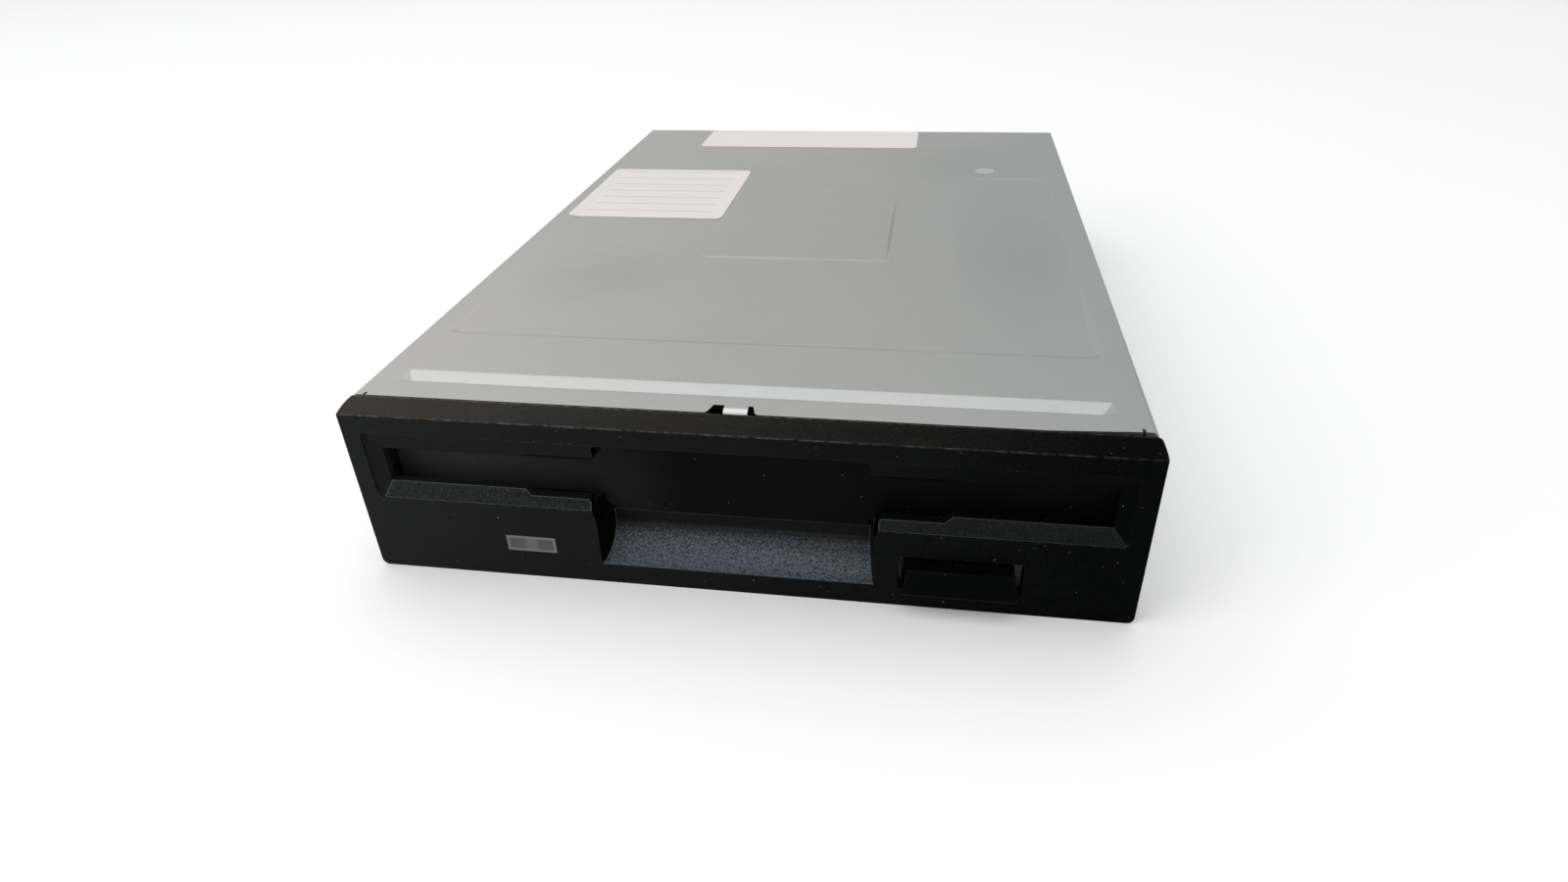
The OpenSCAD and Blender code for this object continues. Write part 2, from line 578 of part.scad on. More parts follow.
module bezel_back() {
    scoop_back = [bezel_wall - 0.5, scoop_r + 1.6];
    block([-scoop_x - 1.5, scoop_x + 1.5], scoop_back, [rim_t - 0.5, door_low[0] - 0.3]);
    pair() block([scoop_x, scoop_x + 1.5], [bezel_wall - 0.5, door_y[0] - 0.2], [rim_t, door_low[1] - 0.2]);
    pair() block(hinge_ear_x, [bezel_wall - 0.5, door_axis[0] + 1.6],
        [door_axis[1] - 1.7, door_axis[1] + 1.5]);
    pair() block(hinge_ear_x, [bezel_wall - 0.5, latch_y[1]], latch_z);
    pair() along_z(latch_z) polygon([[hinge_ear_x[1] - 0.2, latch_y[0]], [wall_x[1] - 0.2, latch_y[0]],
        [hinge_ear_x[1] - 0.2, latch_y[1]]]);
}

module front_bezel() color("#202222") drive() difference() {
    union() {
        difference() {
            bezel_solid();
            bezel_inside();
        }
        bezel_back();
    }
    along_y([-1, dish_step]) dish_outline();
    hull() {
        along_y([dish_step - 0.02, dish_step]) dish_outline();
        along_y([dish_d - 0.02, dish_d]) rounded([-slot_x, slot_x], slot_z, 0.3);
    }
    along_y([-1, bezel_wall + 0.1]) slot_outline();
    intersection() {
        along_x([-scoop_x, scoop_x]) scoop_outline();
        along_z([0, cover_z[1]]) scoop_plan();
    }
    pair() along_y([-1, bezel_wall + 0.1]) strip_corner();
    block([lens_x[0] - lens_x[1], lens_x[0] + lens_x[1]], [-1, bezel_wall + 1], lens_z);
    along_y([-1, bezel_wall + 1]) rounded([button_x[0] - button_x[1], button_x[0] + button_x[1]], button_z,
        0.4);
    pair() rod_x([hinge_ear_x[0] - 0.1, hinge_ear_x[1] + 0.1], door_pin_d / 2 + run, door_axis);
}

module led_lens() color("#4a4d50") drive() {
    pipe_y = boards_y[0][0] - 0.1;
    block([lens_x[0] - lens_x[1] + fit, lens_x[0] + lens_x[1] - fit], [0, bezel_wall],
        [lens_z[0] + fit, lens_z[1] - fit]);
    along_z([lens_z[0] + 0.3, lens_z[1] - 0.3]) polygon([
        [lens_x[0] - 2.6, bezel_wall - 0.2], [lens_x[0] + 2.6, bezel_wall - 0.2],
        [lens_x[0] + 1.6, pipe_y], [lens_x[0] - 1.6, pipe_y]]);
}

module activity_led() color("seagreen") drive() {
    led_y = boards_y[0][0] + 0.2;
    middle = (lens_z[0] + lens_z[1]) / 2;
    block([lens_x[0] - 1.5, lens_x[0] + 1.5], [led_y, led_y + 3], [board_z[1], middle]);
    rod_y([led_y, led_y + 3], 1.5, [lens_x[0], middle]);
}

module front_board() color("darkgreen") drive() difference() {
    block([-board_x, board_x], boards_y[0], board_z);
    pair() rod_z([0, board_z[1] + 1], 1.1, screw_spots[0]);
}

module switch_bodies() color("#303030") drive() for (x = switch_xs) difference() {
    block([x - 2.5, x + 2.5], [switch_y - 2.5, switch_y + 2.5], [board_z[1], switch_z]);
    rod_z([plunger_z[0] - 1.3, switch_z + 1], plunger_r + run, [x, switch_y]);
}

module plunger(x) color("ivory") drive() {
    rod_z([plunger_z[0], plunger_z[1] - 0.4], plunger_r, [x, switch_y]);
    translate([x, switch_y, plunger_z[1] - 0.4]) cylinder(h = 0.4, r1 = plunger_r, r2 = plunger_r - 0.4);
}
module disk_in_plunger() { plunger(switch_xs[0]); }
module write_protect_plunger() { plunger(switch_xs[1]); }
module density_plunger() { plunger(switch_xs[2]); }

module motor_board() color("darkgreen") drive() difference() {
    along_z(board_z) difference() {
        flat([-motor_board_x, motor_board_x], motor_board_y);
        for (p = motor_spots) translate(p) circle(1.1);
        translate([0, spindle_y]) circle(bearing_r + fit);
    }
}

module stator_core() color("slategray") drive() translate([0, spindle_y, 0]) {
    difference() {
        rod_z(stator_z, stator_in_r + 2.5, [0, 0]);
        rod_z([0, stator_z[1] + 1], stator_in_r, [0, 0]);
    }
    for (i = [0 : poles - 1]) rotate([0, 0, 360 * i / poles]) {
        block([stator_in_r + 2, stator_r - 1], [-1, 1], stator_z);
        block([stator_r - 1.2, stator_r], [-3, 3], stator_z);
    }
    for (i = [0 : 2]) rotate([0, 0, 120 * i + 15])
        rod_z([board_z[1], stator_z[0] + 0.2], 1.1, [stator_in_r + 1.2, 0]);
}

module stator_coils() color("chocolate") drive() translate([0, spindle_y, 0])
    for (i = [0 : poles - 1]) rotate([0, 0, 360 * i / poles]) difference() {
        block([stator_in_r + 3.6, stator_r - 1.6], [-1.9, 1.9], [stator_z[0] - 0.8, stator_z[1] + 0.8]);
        block([stator_in_r, stator_r], [-1 - fit, 1 + fit], [stator_z[0] - fit, stator_z[1] + fit]);
    }

module spindle_bearing() color("goldenrod") drive() difference() {
    union() {
        rod_z([board_z[0] - 0.2, cup_z[1] - cup_t - 0.4], bearing_r, [0, spindle_y]);
        rod_z([board_z[1], board_z[1] + 0.8], bearing_r + 2, [0, spindle_y]);
    }
    rod_z([board_z[0] + 0.1, deck_z[1]], shaft_d / 2 + run, [0, spindle_y]);
}

module rotor_cup() color("silver") drive() translate([0, spindle_y, 0]) rotate_extrude($fn = 96) {
    flat([shaft_d / 2 + fit, rotor_d / 2], [cup_z[1] - cup_t, cup_z[1]]);
    flat([rotor_d / 2 - cup_t, rotor_d / 2], cup_z);
}

module rotor_magnet() color("#3a3a3c") drive() translate([0, spindle_y, 0]) rotate_extrude($fn = 96)
    flat([rotor_d / 2 - cup_t - magnet_w, rotor_d / 2 - cup_t - fit], [cup_z[0] + 0.1, cup_z[1] - cup_t]);

module spindle_hub() color("dimgray") drive() difference() {
    translate([0, spindle_y, 0]) rotate_extrude($fn = 96) polygon([
        [shaft_d / 2 + fit, cup_z[1]], [hub_d / 2, cup_z[1]], [hub_d / 2, hub_top - 0.5],
            [hub_d / 2 - 0.5, hub_top],
        [hub_d / 2 - 2, hub_top], [hub_d / 2 - 2, hub_top - 0.6], [shaft_d / 2 + 2.4, hub_top - 0.6],
        [shaft_d / 2 + 2, hub_top], [shaft_d / 2 + fit, hub_top]]);
    rod_z([cup_z[1] - 1, hub_top + 1], 1.2 + fit, [drive_pin_r, spindle_y]);
}

module spindle_shaft() color("lightgray") drive() {
    rod_z([board_z[0] + 0.2, hub_top + 1.4], shaft_d / 2, [0, spindle_y]);
    translate([0, spindle_y, hub_top + 1.4]) cylinder(h = 0.4, r1 = shaft_d / 2, r2 = shaft_d / 2 - 0.4);
}

module drive_pin() color("lightgray") drive() {
    rod_z([cup_z[1], hub_top + 0.9], 1.2, [drive_pin_r, spindle_y]);
    translate([drive_pin_r, spindle_y, hub_top + 0.9]) cylinder(h = 0.3, r1 = 1.2, r2 = 0.9);
}

module control_board() color("darkgreen") drive() difference() {
    block([-board_x, board_x], boards_y[1], board_z);
    pair() for (i = [1, 2]) rod_z([0, board_z[1] + 1], 1.1, screw_spots[i]);
    data_feet(pin_t + 0.1, [0, board_z[1] + 1]);
    power_feet(pin_t + 0.1, [0, board_z[1] + 1]);
}

chips = [[-30, 9, 6, 5], [12, 16, 7, 7], [32, 14, 5, 9], [-8, 17, 4, 6]];
module control_chips() color("#1c1c1e") drive() for (c = chips) let (y = boards_y[1][0] + c[1])
    block([c[0] - c[2], c[0] + c[2]], [y - c[3], y + c[3]], [board_z[1], board_z[1] + 1.8]);

function pin_columns(n, pitch, middle) = [for (i = [0 : n - 1]) middle + (i - (n - 1) / 2) * pitch];
data_xs = pin_columns(data_columns, data_pitch, (data_x[0] + data_x[1]) / 2);
power_xs = pin_columns(4, power_pitch, (power_x[0] + power_x[1]) / 2);
// The legs of the pins, which go down through the board
module data_feet(t, z) for (x = data_xs) for (y = data_legs_y)
    block([x - t / 2, x + t / 2], [y - t / 2, y + t / 2], z);
module power_feet(t, z) for (x = power_xs) block([x - t / 2, x + t / 2],
    [power_leg_y - t / 2, power_leg_y + t / 2], z);
// The pins' straight stretches, from their legs to their tips
module data_bars(t) for (x = data_xs) for (k = [0, 1])
    block([x - t / 2, x + t / 2], [data_legs_y[k] - t / 2, body_l - pin_tip],
        [data_rows_z[k] - t / 2, data_rows_z[k] + t / 2]);
module power_bars(t) for (x = power_xs)
    block([x - t / 2, x + t / 2], [power_leg_y - t / 2, body_l - pin_tip],
        [power_row_z - t / 2, power_row_z + t / 2]);

module shell(x, y, z, back) difference() {
    block(x, [y, body_l], z);
    block([x[0] + shell_t, x[1] - shell_t], [y + back, body_l + 1], [z[0] + shell_t, z[1] - shell_t]);
}

module data_connector() color("#26282a") drive() difference() {
    shell(data_x, data_y, data_z, 2);
    data_bars(pin_t + 0.1);
    block([(data_x[0] + data_x[1]) / 2 - 2.2, (data_x[0] + data_x[1]) / 2 + 2.2],
        [data_y + 3.5, body_l + 1], [data_z[1] - 2, data_z[1] + 1]);
}

module data_pins() color("gold") drive() {
    data_bars(pin_t);
    for (x = data_xs) for (k = [0, 1]) block([x - pin_t / 2, x + pin_t / 2],
        [data_legs_y[k] - pin_t / 2, data_legs_y[k] + pin_t / 2], [board_z[0] - 0.6, data_rows_z[k]]);
}

module power_connector() color("ivory") drive() difference() {
    shell(power_x, power_y, power_z, 2);
    power_bars(pin_t + 0.1);
}

module power_pins() color("gold") drive() {
    power_bars(pin_t);
    power_feet(pin_t, [board_z[0] - 0.6, power_row_z]);
}

module stepper_motor() color("silver") drive() difference() {
    union() {
        rod_y(can_y, stepper_d / 2, screw_at);
        along_y([bracket_y[1], can_y[0] + 0.1]) translate(screw_at) {
            for (s = [-1, 1]) translate([stepper_hole_x * s, 0]) circle(2.2);
            flat([-stepper_hole_x, stepper_hole_x], [-2.2, 2.2]);
            circle(stepper_d / 2 - 0.5);
        }
        rod_y([bracket_y[0] + 0.1, bracket_y[1] + 0.5], 4, screw_at);
    }
    rod_y([bracket_y[0] - 1, can_y[0] + 3], journal_r + run, screw_at);
    for (s = [-1, 1]) rod_y([bracket_y[1] - 1, can_y[0] + 1], 0.9, screw_at + [stepper_hole_x * s, 0]);
}

module stepper_screws() color("gray") drive() for (s = [-1, 1])
    let (at = screw_at + [stepper_hole_x * s, 0]) {
    rod_y([bracket_y[0] + 0.1, can_y[0]], 0.8, at);
    rod_y([can_y[0] + 0.1, can_y[0] + 1], 1.7, at);
    rod_y([can_y[0] - 0.1, can_y[0] + 0.2], 0.8, at);
}

module screw_bush() color("goldenrod") drive() difference() {
    rod_y(ear_y, journal_r + 0.9, screw_at);
    rod_y([ear_y[0] - 1, ear_y[1] + 1], journal_r + run, screw_at);
}

module lead_screw() color("lightgray") drive() {
    rod_y([ear_y[0], bracket_y[1] + 3], journal_r, screw_at);
    rod_y([ear_y[1] + 0.1, bracket_y[0] - 0.2], screw_d / 2, screw_at);
}

module guide_rod() color("lightgray") drive() rod_y([rod_seats_y[0], rod_seats_y[1] + 1.8], rod_d / 2,
    rod_at);

module rod_clamps() color("silver") drive() for (y = rod_seats_y) difference() {
    union() {
        top = rod_at[1] + rod_d / 2 + fit;
        block([rod_at[0] - 2, rod_at[0] + 4.6], [y, y + 1.8], [top, top + 0.6]);
        block([rod_at[0] + 4, rod_at[0] + 4.6], [y, y + 1.8], [deck_z[1], top + 0.6]);
        block([rod_at[0] + 4, rod_at[0] + 8], [y, y + 1.8], [deck_z[1], deck_z[1] + 0.6]);
    }
    rod_z([deck_z[1] - 1, deck_z[1] + 1], 0.6, [rod_at[0] + 6.4, y + 0.9]);
}

module track_zero_sensor() color("#26282a") drive() {
    y = [sleeve_y, sleeve_y + 6];
    block([sensor_x - 3.5, sensor_x + 3.5], y, [deck_z[1], deck_z[1] + 1.2]);
    for (s = [-1, 1]) block([sensor_x - 1.35 + 2.15 * s, sensor_x + 1.35 + 2.15 * s], y,
        [deck_z[1] + 1, deck_z[1] + 4.2]);
}

module lever_post() color("silver") drive() {
    rod_z([deck_z[0], lever_z[1] + 0.2], post_d / 2, lever_post_xy);
    rod_z([lever_z[1] + 0.1, lever_z[1] + 0.7], post_d / 2 + 0.8, lever_post_xy);
}

module slider_studs() color("silver") drive() pair() for (p = studs) {
    rod_z([deck_z[0], slider_z[1] + 0.2], stud_r, p);
    rod_z([slider_z[1] + 0.12, slider_z[1] + 0.5], stud_r + 1, p);
}

module eject_springs() color("gray") drive() pair() translate([spring_x, spring_y[0], spring_z])
    rotate([-90, 0, 0])
    wire(coil_points, spring_wire / 2);

module board_screws() color("gray") drive() pair() for (p = screw_spots) {
    rod_z([0.5, board_z[1] + 0.1], 1, p);
    rod_z([board_z[1], board_z[1] + 0.9], 1.9, p);
}

module motor_screws() color("gray") drive() for (p = motor_spots) {
    rod_z([board_z[0] - 0.1, deck_z[0] - 0.7], 0.8, p);
    rod_z([board_z[0] - 0.9, board_z[0]], 1.8, p);
}

module slider_outline() difference() {
    union() {
        pair() flat([strip_x, ear_x[1]], slider_y);
        flat([-strip_x - 1, strip_x + 1], [slider_y[0], slider_y[0] + 6.5]);
        flat([tongue_x[0], tongue_x[1]], [deck_y - 1.8, slider_y[0] + 1]);
    }
    pair() for (p = studs) {
        flat([p[0] - stud_r - 0.1, p[0] + stud_r + 0.1], [p[1], p[1] + eject_travel]);
        for (y = [0, eject_travel]) translate(p + [0, y]) circle(stud_r + 0.1);
    }
    pair() rounded([strip_x + 2, ear_x[0] - 2], [spindle_y - 24, spindle_y - 14], 1);
    pair() rounded([strip_x + 2, ear_x[0] - 2], [spindle_y + 34, spindle_y + 46], 1);
}

module slider_plate() color("lightsteelblue") drive() difference() {
    union() {
        along_z(slider_z) slider_outline();
        pair() for (y = pins_y) block(ear_x, [y - 4, y + eject_travel + 4], [slider_z[0], pin_z + 3]);
        pair() block(lug_at_x, [spring_y[1] - 0.8, spring_y[1] + 0.8], [lug_z, slider_z[1]]);
        block(tongue_x, [deck_y - 1.8, deck_y - 1], [tongue_z[0], slider_z[1]]);
        block(tongue_x, [tongue_y, deck_y - 1], tongue_z);
    }
    pair() for (y = pins_y) slot_through([ear_x[0] - 1, ear_x[1] + 1], [y, pin_z],
        [y + eject_travel, pin_z - lift], pin_d / 2 + 0.1);
}

// The button seen from its side: its face leans back above a round lip
module button_side() {
    lip_r = 0.7;
    polygon([[lip_r - button_proud, button_body_z[0]], [button_back, button_body_z[0]],
        [button_back, button_body_z[1]], [button_slant - button_proud, button_body_z[1]],
        [-button_proud, button_body_z[0] + lip_r]]);
    translate([lip_r - button_proud, button_body_z[0] + lip_r]) circle(lip_r);
}

module eject_button() color("#1c1e1e") drive() difference() {
    union() {
        intersection() {
            along_x(button_body_x) button_side();
            along_y([-button_proud - 1, button_back + 1]) polygon([
                [button_body_x[0], button_body_z[0]], [button_body_x[1], button_body_z[0]],
                [button_body_x[1] - button_taper, button_body_z[1]],
                [button_body_x[0] + button_taper, button_body_z[1]]]);
        }
        block([button_body_x[0] - 1.8, button_body_x[1] + 1.8], stop_y,
            [button_body_z[0], button_body_z[1] + 1]);
    }
    block([tongue_x[0] - fit, tongue_x[1] + fit], [tongue_y - fit, button_back + 1],
        [tongue_z[0] - fit, tongue_z[1] + fit]);
}

module carrier_profile() {
    flat([-tray_x[1], tray_x[1]], tray_z);
    for (s = [-1, 1]) scale([s, 1]) {
        flat(tray_x, [lip_z, tray_z[1]]);
        flat([tray_x[0] - 4.6, tray_x[1]], [lip_z, disk_z]);
    }
}

module disk_carrier() color("lightsteelblue") drive() difference() {
    union() {
        along_y(tray_y) carrier_profile();
        block([26, 40], [tray_y[1] - carrier_t, tray_y[1]], [disk_z, tray_z[1]]);
    }
    block([-16, 16], [spindle_y + 7.5, tray_y[1] + 1], [tray_z[0] - 1, tray_z[1] + 1]);
    along_z([tray_z[0] - 1, tray_z[1] + 1]) rounded([-12, 12], [tray_y[0] - 3, tray_y[0] + 9], 2);
    translate([lever_post_xy[0], lever_post_xy[1], tray_z[0] - 1]) rotate([0, 0, lever_rest - 6])
        rotate_extrude(angle = lever_swing + 12) flat([lever_l - 1.8, lever_l + 1.8], [0, carrier_t + 2]);
    pair() for (y = pins_y) rod_x([tray_x[0] - 1, tray_x[1] + 1], pin_d / 2 + fit, [y, pin_z]);
}

module carrier_pins() color("lightgray") drive() pair() for (y = pins_y)
    rod_x([tray_x[0], wall_x[1] - 0.2], pin_d / 2, [y, pin_z]);

module disk_springs() color("lightgray") drive() pair() {
    along_z([tray_z[1], tray_z[1] + 0.3]) rounded([27, 33], [spindle_y - 20, spindle_y + 22], 2);
}

module lever_outline() {
    along = finger - lever_post_xy;
    translate(lever_post_xy) {
        circle(3.2);
        rotate(atan2(along[1], along[0])) polygon([[0, -3], [lever_l, -1.8], [lever_l, 1.8], [0, 3]]);
        rotate(lever_rest + 115) polygon([[0, -2], [7, -1.2], [7, 1.2], [0, 2]]);
    }
    translate(finger) circle(1.8);
}

module trigger_lever() color("whitesmoke") drive() difference() {
    union() {
        along_z(lever_z) lever_outline();
        rod_z([lever_z[0], finger_top], finger_r, finger);
    }
    rod_z([lever_z[0] - 1, lever_z[1] + 1], post_d / 2 + run, lever_post_xy);
}

module lever_spring() color("gray") drive()
    translate([lever_post_xy[0], lever_post_xy[1], deck_z[1] + 0.3]) rotate([0, 0, lever_rest - 20])
        wire(coil(post_d / 2 + 0.6, 1.25, 0.85, [0, -1.5, 0], [-4, 0, 0]), 0.2);

module dust_door() color("#26292a") drive() difference() {
    union() {
        along_y(door_y) for (s = [-1, 1]) scale([s, 1]) polygon([[-0.1, door_axis[1]], [-0.1, door_low[0]],
            [scoop_x - 1.75, door_low[0]], [scoop_x - 0.95, door_low[0] + 0.5],
            [scoop_x + 0.25, door_low[1] - 0.8], [scoop_x + 1.75, door_low[1]], [door_x, door_low[1]],
            [door_x, door_axis[1]]]);
        rod_x([-door_x, door_x], knuckle_r, door_axis);
        rod_x([-hinge_ear_x[1], hinge_ear_x[1]], door_pin_d / 2, door_axis);
    }
    difference() {
        block(door_spring_x, [door_y[0] - 1, door_y[1] + 2], [door_axis[1] - 2, door_axis[1] + 2]);
        rod_x([door_spring_x[0] - 1, door_spring_x[1] + 1], knuckle_r, door_axis);
    }
}

module door_spring() color("gray") drive() translate([door_spring_x[0] + 0.6, door_axis[0], door_axis[1]])
    rotate([90, 0, 90])
    wire(coil(knuckle_r + 0.35, 4.5, 0.8, [-knuckle_r - 0.1, -3.2, 0], [-1.5, -0.9, 0]), 0.15);

module head_carriage() color("#55585c") drive() difference() {
    union() {
        block([-tongue_w, tongue_w], [head_y - 5, block_y[0] + 1], carriage_z);
        block([-head_half[0] - 1, head_half[0] + 1], [head_y - 5, head_y + 5],
            [carriage_z[0], carriage_z[1]]);
        block([-block_x, block_x], block_y, block_z);
        pair() along_x(lug_x) {
            flat([hinge_y - 2, hinge_y + 2], [block_z[1] - 1, arm_axis[1]]);
            translate(arm_axis) circle(2);
        }
        block([block_x - 1, rod_at[0] + rod_d / 2 + 1.4], [sleeve_y, block_y[1]],
            [block_z[0], rod_at[1] + rod_d / 2 + 1]);
        block([screw_at[0] + screw_d / 2 + 0.55, -block_x + 1], [sleeve_y, sleeve_y + 6],
            [block_z[0] + 0.6, screw_at[1] + 2.5]);
        block([block_x, flag_x + 0.4], [sleeve_y + 4.4, sleeve_y + 6.4], [deck_z[1] + 4.6, deck_z[1] + 5.4]);
        block([flag_x - 0.4, flag_x + 0.4], [sleeve_y - 0.5, sleeve_y + 6.4],
            [deck_z[1] + 1.6, deck_z[1] + 5.4]);
    }
    rod_y([sleeve_y - 1, block_y[1] + 1], rod_d / 2 + run, rod_at);
    pair() rod_x([lug_x[0] - 1, lug_x[1] + 1], arm_pin_d / 2 + fit, arm_axis);
}

module lower_head() color("#2c2a28") drive() {
    z = [carriage_z[1], head_z];
    along_x([-head_half[0], head_half[0]]) polygon([
        [head_y - head_half[1], z[0]], [head_y + head_half[1], z[0]], [head_y + head_half[1], z[1] - 0.6],
        [head_y + head_half[1] - 0.8, z[1]], [head_y - head_half[1] + 0.8, z[1]],
            [head_y - head_half[1], z[1] - 0.6]]);
}

module screw_follower() color("ivory") drive() difference() {
    r = screw_d / 2;
    block([screw_at[0] - r - 1.1, screw_at[0] + r + 0.55], [sleeve_y + 1.5, sleeve_y + 4.5],
        [screw_at[1] - 2.1, screw_at[1] + 2.1]);
    rod_y([sleeve_y, sleeve_y + 6], r + 0.1, screw_at);
}

module arm_pin() color("lightgray") drive() rod_x([-lug_x[1] - 0.3, lug_x[1] + 3.2], arm_pin_d / 2, arm_axis);

// The arm's wings, counted from the heads and from the hinge; the spring's leg lies on the raised wing
wing_y = [11, 13.5];
wing_z = [-2.3, -1.2];
arm_coil_r = arm_pin_d / 2 + 0.5;
arm_leg_z = wing_z[1] * cos(arm_swing) + (arm_l - wing_y[0]) * sin(arm_swing) + 0.33;
module arm_spring() color("gray") drive() translate([lug_x[1] + 2.8, arm_axis[0], arm_axis[1]])
    rotate([0, -90, 0])
    wire(coil(arm_coil_r, 2.25, 0.95, [arm_leg_z - arm_coil_r, wing_y[0] - arm_l, 0], [-2.6, 0, 0]), 0.25);

// The upper arm is drawn where it meets the diskette, then raised about its hinge
module raised() drive() translate([0, arm_axis[0], arm_axis[1]]) rotate([-arm_swing, 0, 0])
    translate([0, -arm_axis[0], -arm_axis[1]]) children();
pad_z = [head_z + 1.4, head_z + 3];

module upper_arm() color("#55585c") raised() difference() {
    union() {
        along_x([-4.6, 4.6]) polygon([[head_y - 5, pad_z[0]], [head_y + 5.5, pad_z[0]],
            [head_y + 10, pad_z[0] + 1.8],
            [head_y + 10, pad_z[0] + 4.3], [head_y + 5.5, pad_z[1]], [head_y - 5, pad_z[1]]]);
        along_x([-lug_x[0] + 0.3, lug_x[0] - 0.3]) {
            polygon([[head_y + 9, pad_z[0] + 1.4], [hinge_y, arm_axis[1] - 1.9], [hinge_y, arm_axis[1] + 1.9],
                [head_y + 9, pad_z[0] + 4.3]]);
            translate(arm_axis) circle(1.9);
        }
        block([-18.5, 18.5], [head_y + wing_y[0], head_y + wing_y[1]],
            [arm_axis[1] + wing_z[0], arm_axis[1] + wing_z[1]]);
    }
    rod_x([-lug_x[0] - 1, lug_x[0] + 1], arm_pin_d / 2 + run, arm_axis);
}

module upper_head() color("#2c2a28") raised() along_x([-head_half[0], head_half[0]]) polygon([
    [head_y - head_half[1], pad_z[0]], [head_y + head_half[1], pad_z[0]],
        [head_y + head_half[1], head_z + 0.8],
    [head_y + head_half[1] - 0.8, head_z + 0.2], [head_y - head_half[1] + 0.8, head_z + 0.2],
    [head_y - head_half[1], head_z + 0.8]]);

chassis_frame();
top_cover();
front_bezel();
led_lens();
activity_led();
front_board();
switch_bodies();
motor_board();
stator_core();
stator_coils();
spindle_bearing();
control_board();
control_chips();
data_connector();
data_pins();
power_connector();
power_pins();
stepper_motor();
screw_bush();
guide_rod();
rod_clamps();
track_zero_sensor();
lever_post();
slider_studs();
eject_springs();
board_screws();
motor_screws();
stepper_screws();
slider_plate();
eject_button();
disk_carrier();
carrier_pins();
disk_springs();
trigger_lever();
lever_spring();
dust_door();
door_spring();
rotor_cup();
rotor_magnet();
spindle_hub();
spindle_shaft();
drive_pin();
head_carriage();
lower_head();
screw_follower();
arm_pin();
arm_spring();
upper_arm();
upper_head();
lead_screw();
disk_in_plunger();
write_protect_plunger();
density_plunger();
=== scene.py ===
# %% [markdown]
# # A slim diskette drive
#
# The solids of this drive come from a CAD model: every piece is already the right size and in the right
# place. This lesson dresses them. It sets up a camera and soft light, works out one material for each real
# surface, rounds the sharp edges as moulding and pressing do, and models the few thin things that only show
# on the outside, such as paper labels and the crosses in the screw heads.

# %% Load the solids
import math

import bpy
from mathutils import Matrix, Vector


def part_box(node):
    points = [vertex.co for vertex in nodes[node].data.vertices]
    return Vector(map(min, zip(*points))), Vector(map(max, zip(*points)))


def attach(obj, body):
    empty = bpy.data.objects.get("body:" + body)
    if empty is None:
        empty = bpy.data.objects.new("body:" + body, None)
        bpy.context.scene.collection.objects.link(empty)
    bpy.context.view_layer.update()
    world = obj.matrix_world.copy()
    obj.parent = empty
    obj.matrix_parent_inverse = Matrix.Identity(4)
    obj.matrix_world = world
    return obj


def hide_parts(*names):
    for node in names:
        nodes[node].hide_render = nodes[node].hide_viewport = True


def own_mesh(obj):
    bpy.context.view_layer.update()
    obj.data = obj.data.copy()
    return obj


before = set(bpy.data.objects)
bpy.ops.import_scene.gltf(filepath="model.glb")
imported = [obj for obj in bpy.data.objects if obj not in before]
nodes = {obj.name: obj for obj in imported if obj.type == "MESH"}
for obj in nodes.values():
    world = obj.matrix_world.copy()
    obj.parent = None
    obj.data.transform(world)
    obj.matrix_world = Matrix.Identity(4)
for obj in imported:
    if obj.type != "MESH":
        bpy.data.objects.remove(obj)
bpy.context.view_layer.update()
face_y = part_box("front_bezel")[0].y
face_at = Vector((0.0, face_y, 0.0))
top_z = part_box("top_cover")[1].z
print("pieces:", len(nodes), "bezel face at y", round(face_y * 1000, 2), "mm,",
      "cover top at z", round(top_z * 1000, 2), "mm")

# %% [markdown]
# ## The camera
#
# The drive was seen from a hand's length away with a wide lens, so its front looks much wider than its back.
# A camera could be aimed by eye, but a wide lens punishes small errors. Its place and its three axes are
# written down here instead, and put straight into the camera's matrix.

# %% Camera
camera_data = bpy.data.cameras.new("view_camera")
camera_data.sensor_width = 36.0
camera_data.lens = 21.306
camera_data.clip_start = 0.005
camera = bpy.data.objects.new("view_camera", camera_data)
bpy.context.scene.collection.objects.link(camera)
to_right = Vector((0.98766, 0.15374, -0.02979)).normalized()
looking = Vector((-0.14638, 0.83889, -0.52425)).normalized()
to_top = to_right.cross(looking)
camera_at = Vector((0.023286, face_y - 0.092374, 0.081843))
camera.matrix_world = Matrix((
    (to_right.x, to_top.x, -looking.x, camera_at.x),
    (to_right.y, to_top.y, -looking.y, camera_at.y),
    (to_right.z, to_top.z, -looking.z, camera_at.z),
    (0.0, 0.0, 0.0, 1.0)))
bpy.context.scene.camera = camera
print("camera", [round(v, 4) for v in camera_at], "lens", camera_data.lens)

# %% [markdown]
# ## Tools for materials
#
# A material is a net of nodes, and the same few kinds come back in each one. The first helper turns the
# colour codes that a paint chart uses into the linear numbers that Blender's sockets take. The next two add a
# node with its settings and links, and start a material with its shader and its Object coordinates, which are
# in metres, so a pattern's scale follows from a real size. The others are short ways to write the nodes used
# most: arithmetic, a change of range, a mix, a noise, a bump, a mask on edges for wear and painted highlights,
# and grains of dust.

# %% Helpers for materials
def linear(code):
    parts = [int(code[i:i + 2], 16) / 255 for i in (1, 3, 5)]
    return tuple(c / 12.92 if c <= 0.04045 else ((c + 0.055) / 1.055) ** 2.4 for c in parts) + (1.0,)


def add(tree, kind, inputs=None, **settings):
    made = tree.nodes.new(kind)
    for name, value in settings.items():
        setattr(made, name, value)
    for name, value in (inputs or {}).items():
        if isinstance(value, bpy.types.NodeSocket):
            tree.links.new(value, made.inputs[name])
        else:
            made.inputs[name].default_value = value
    return made


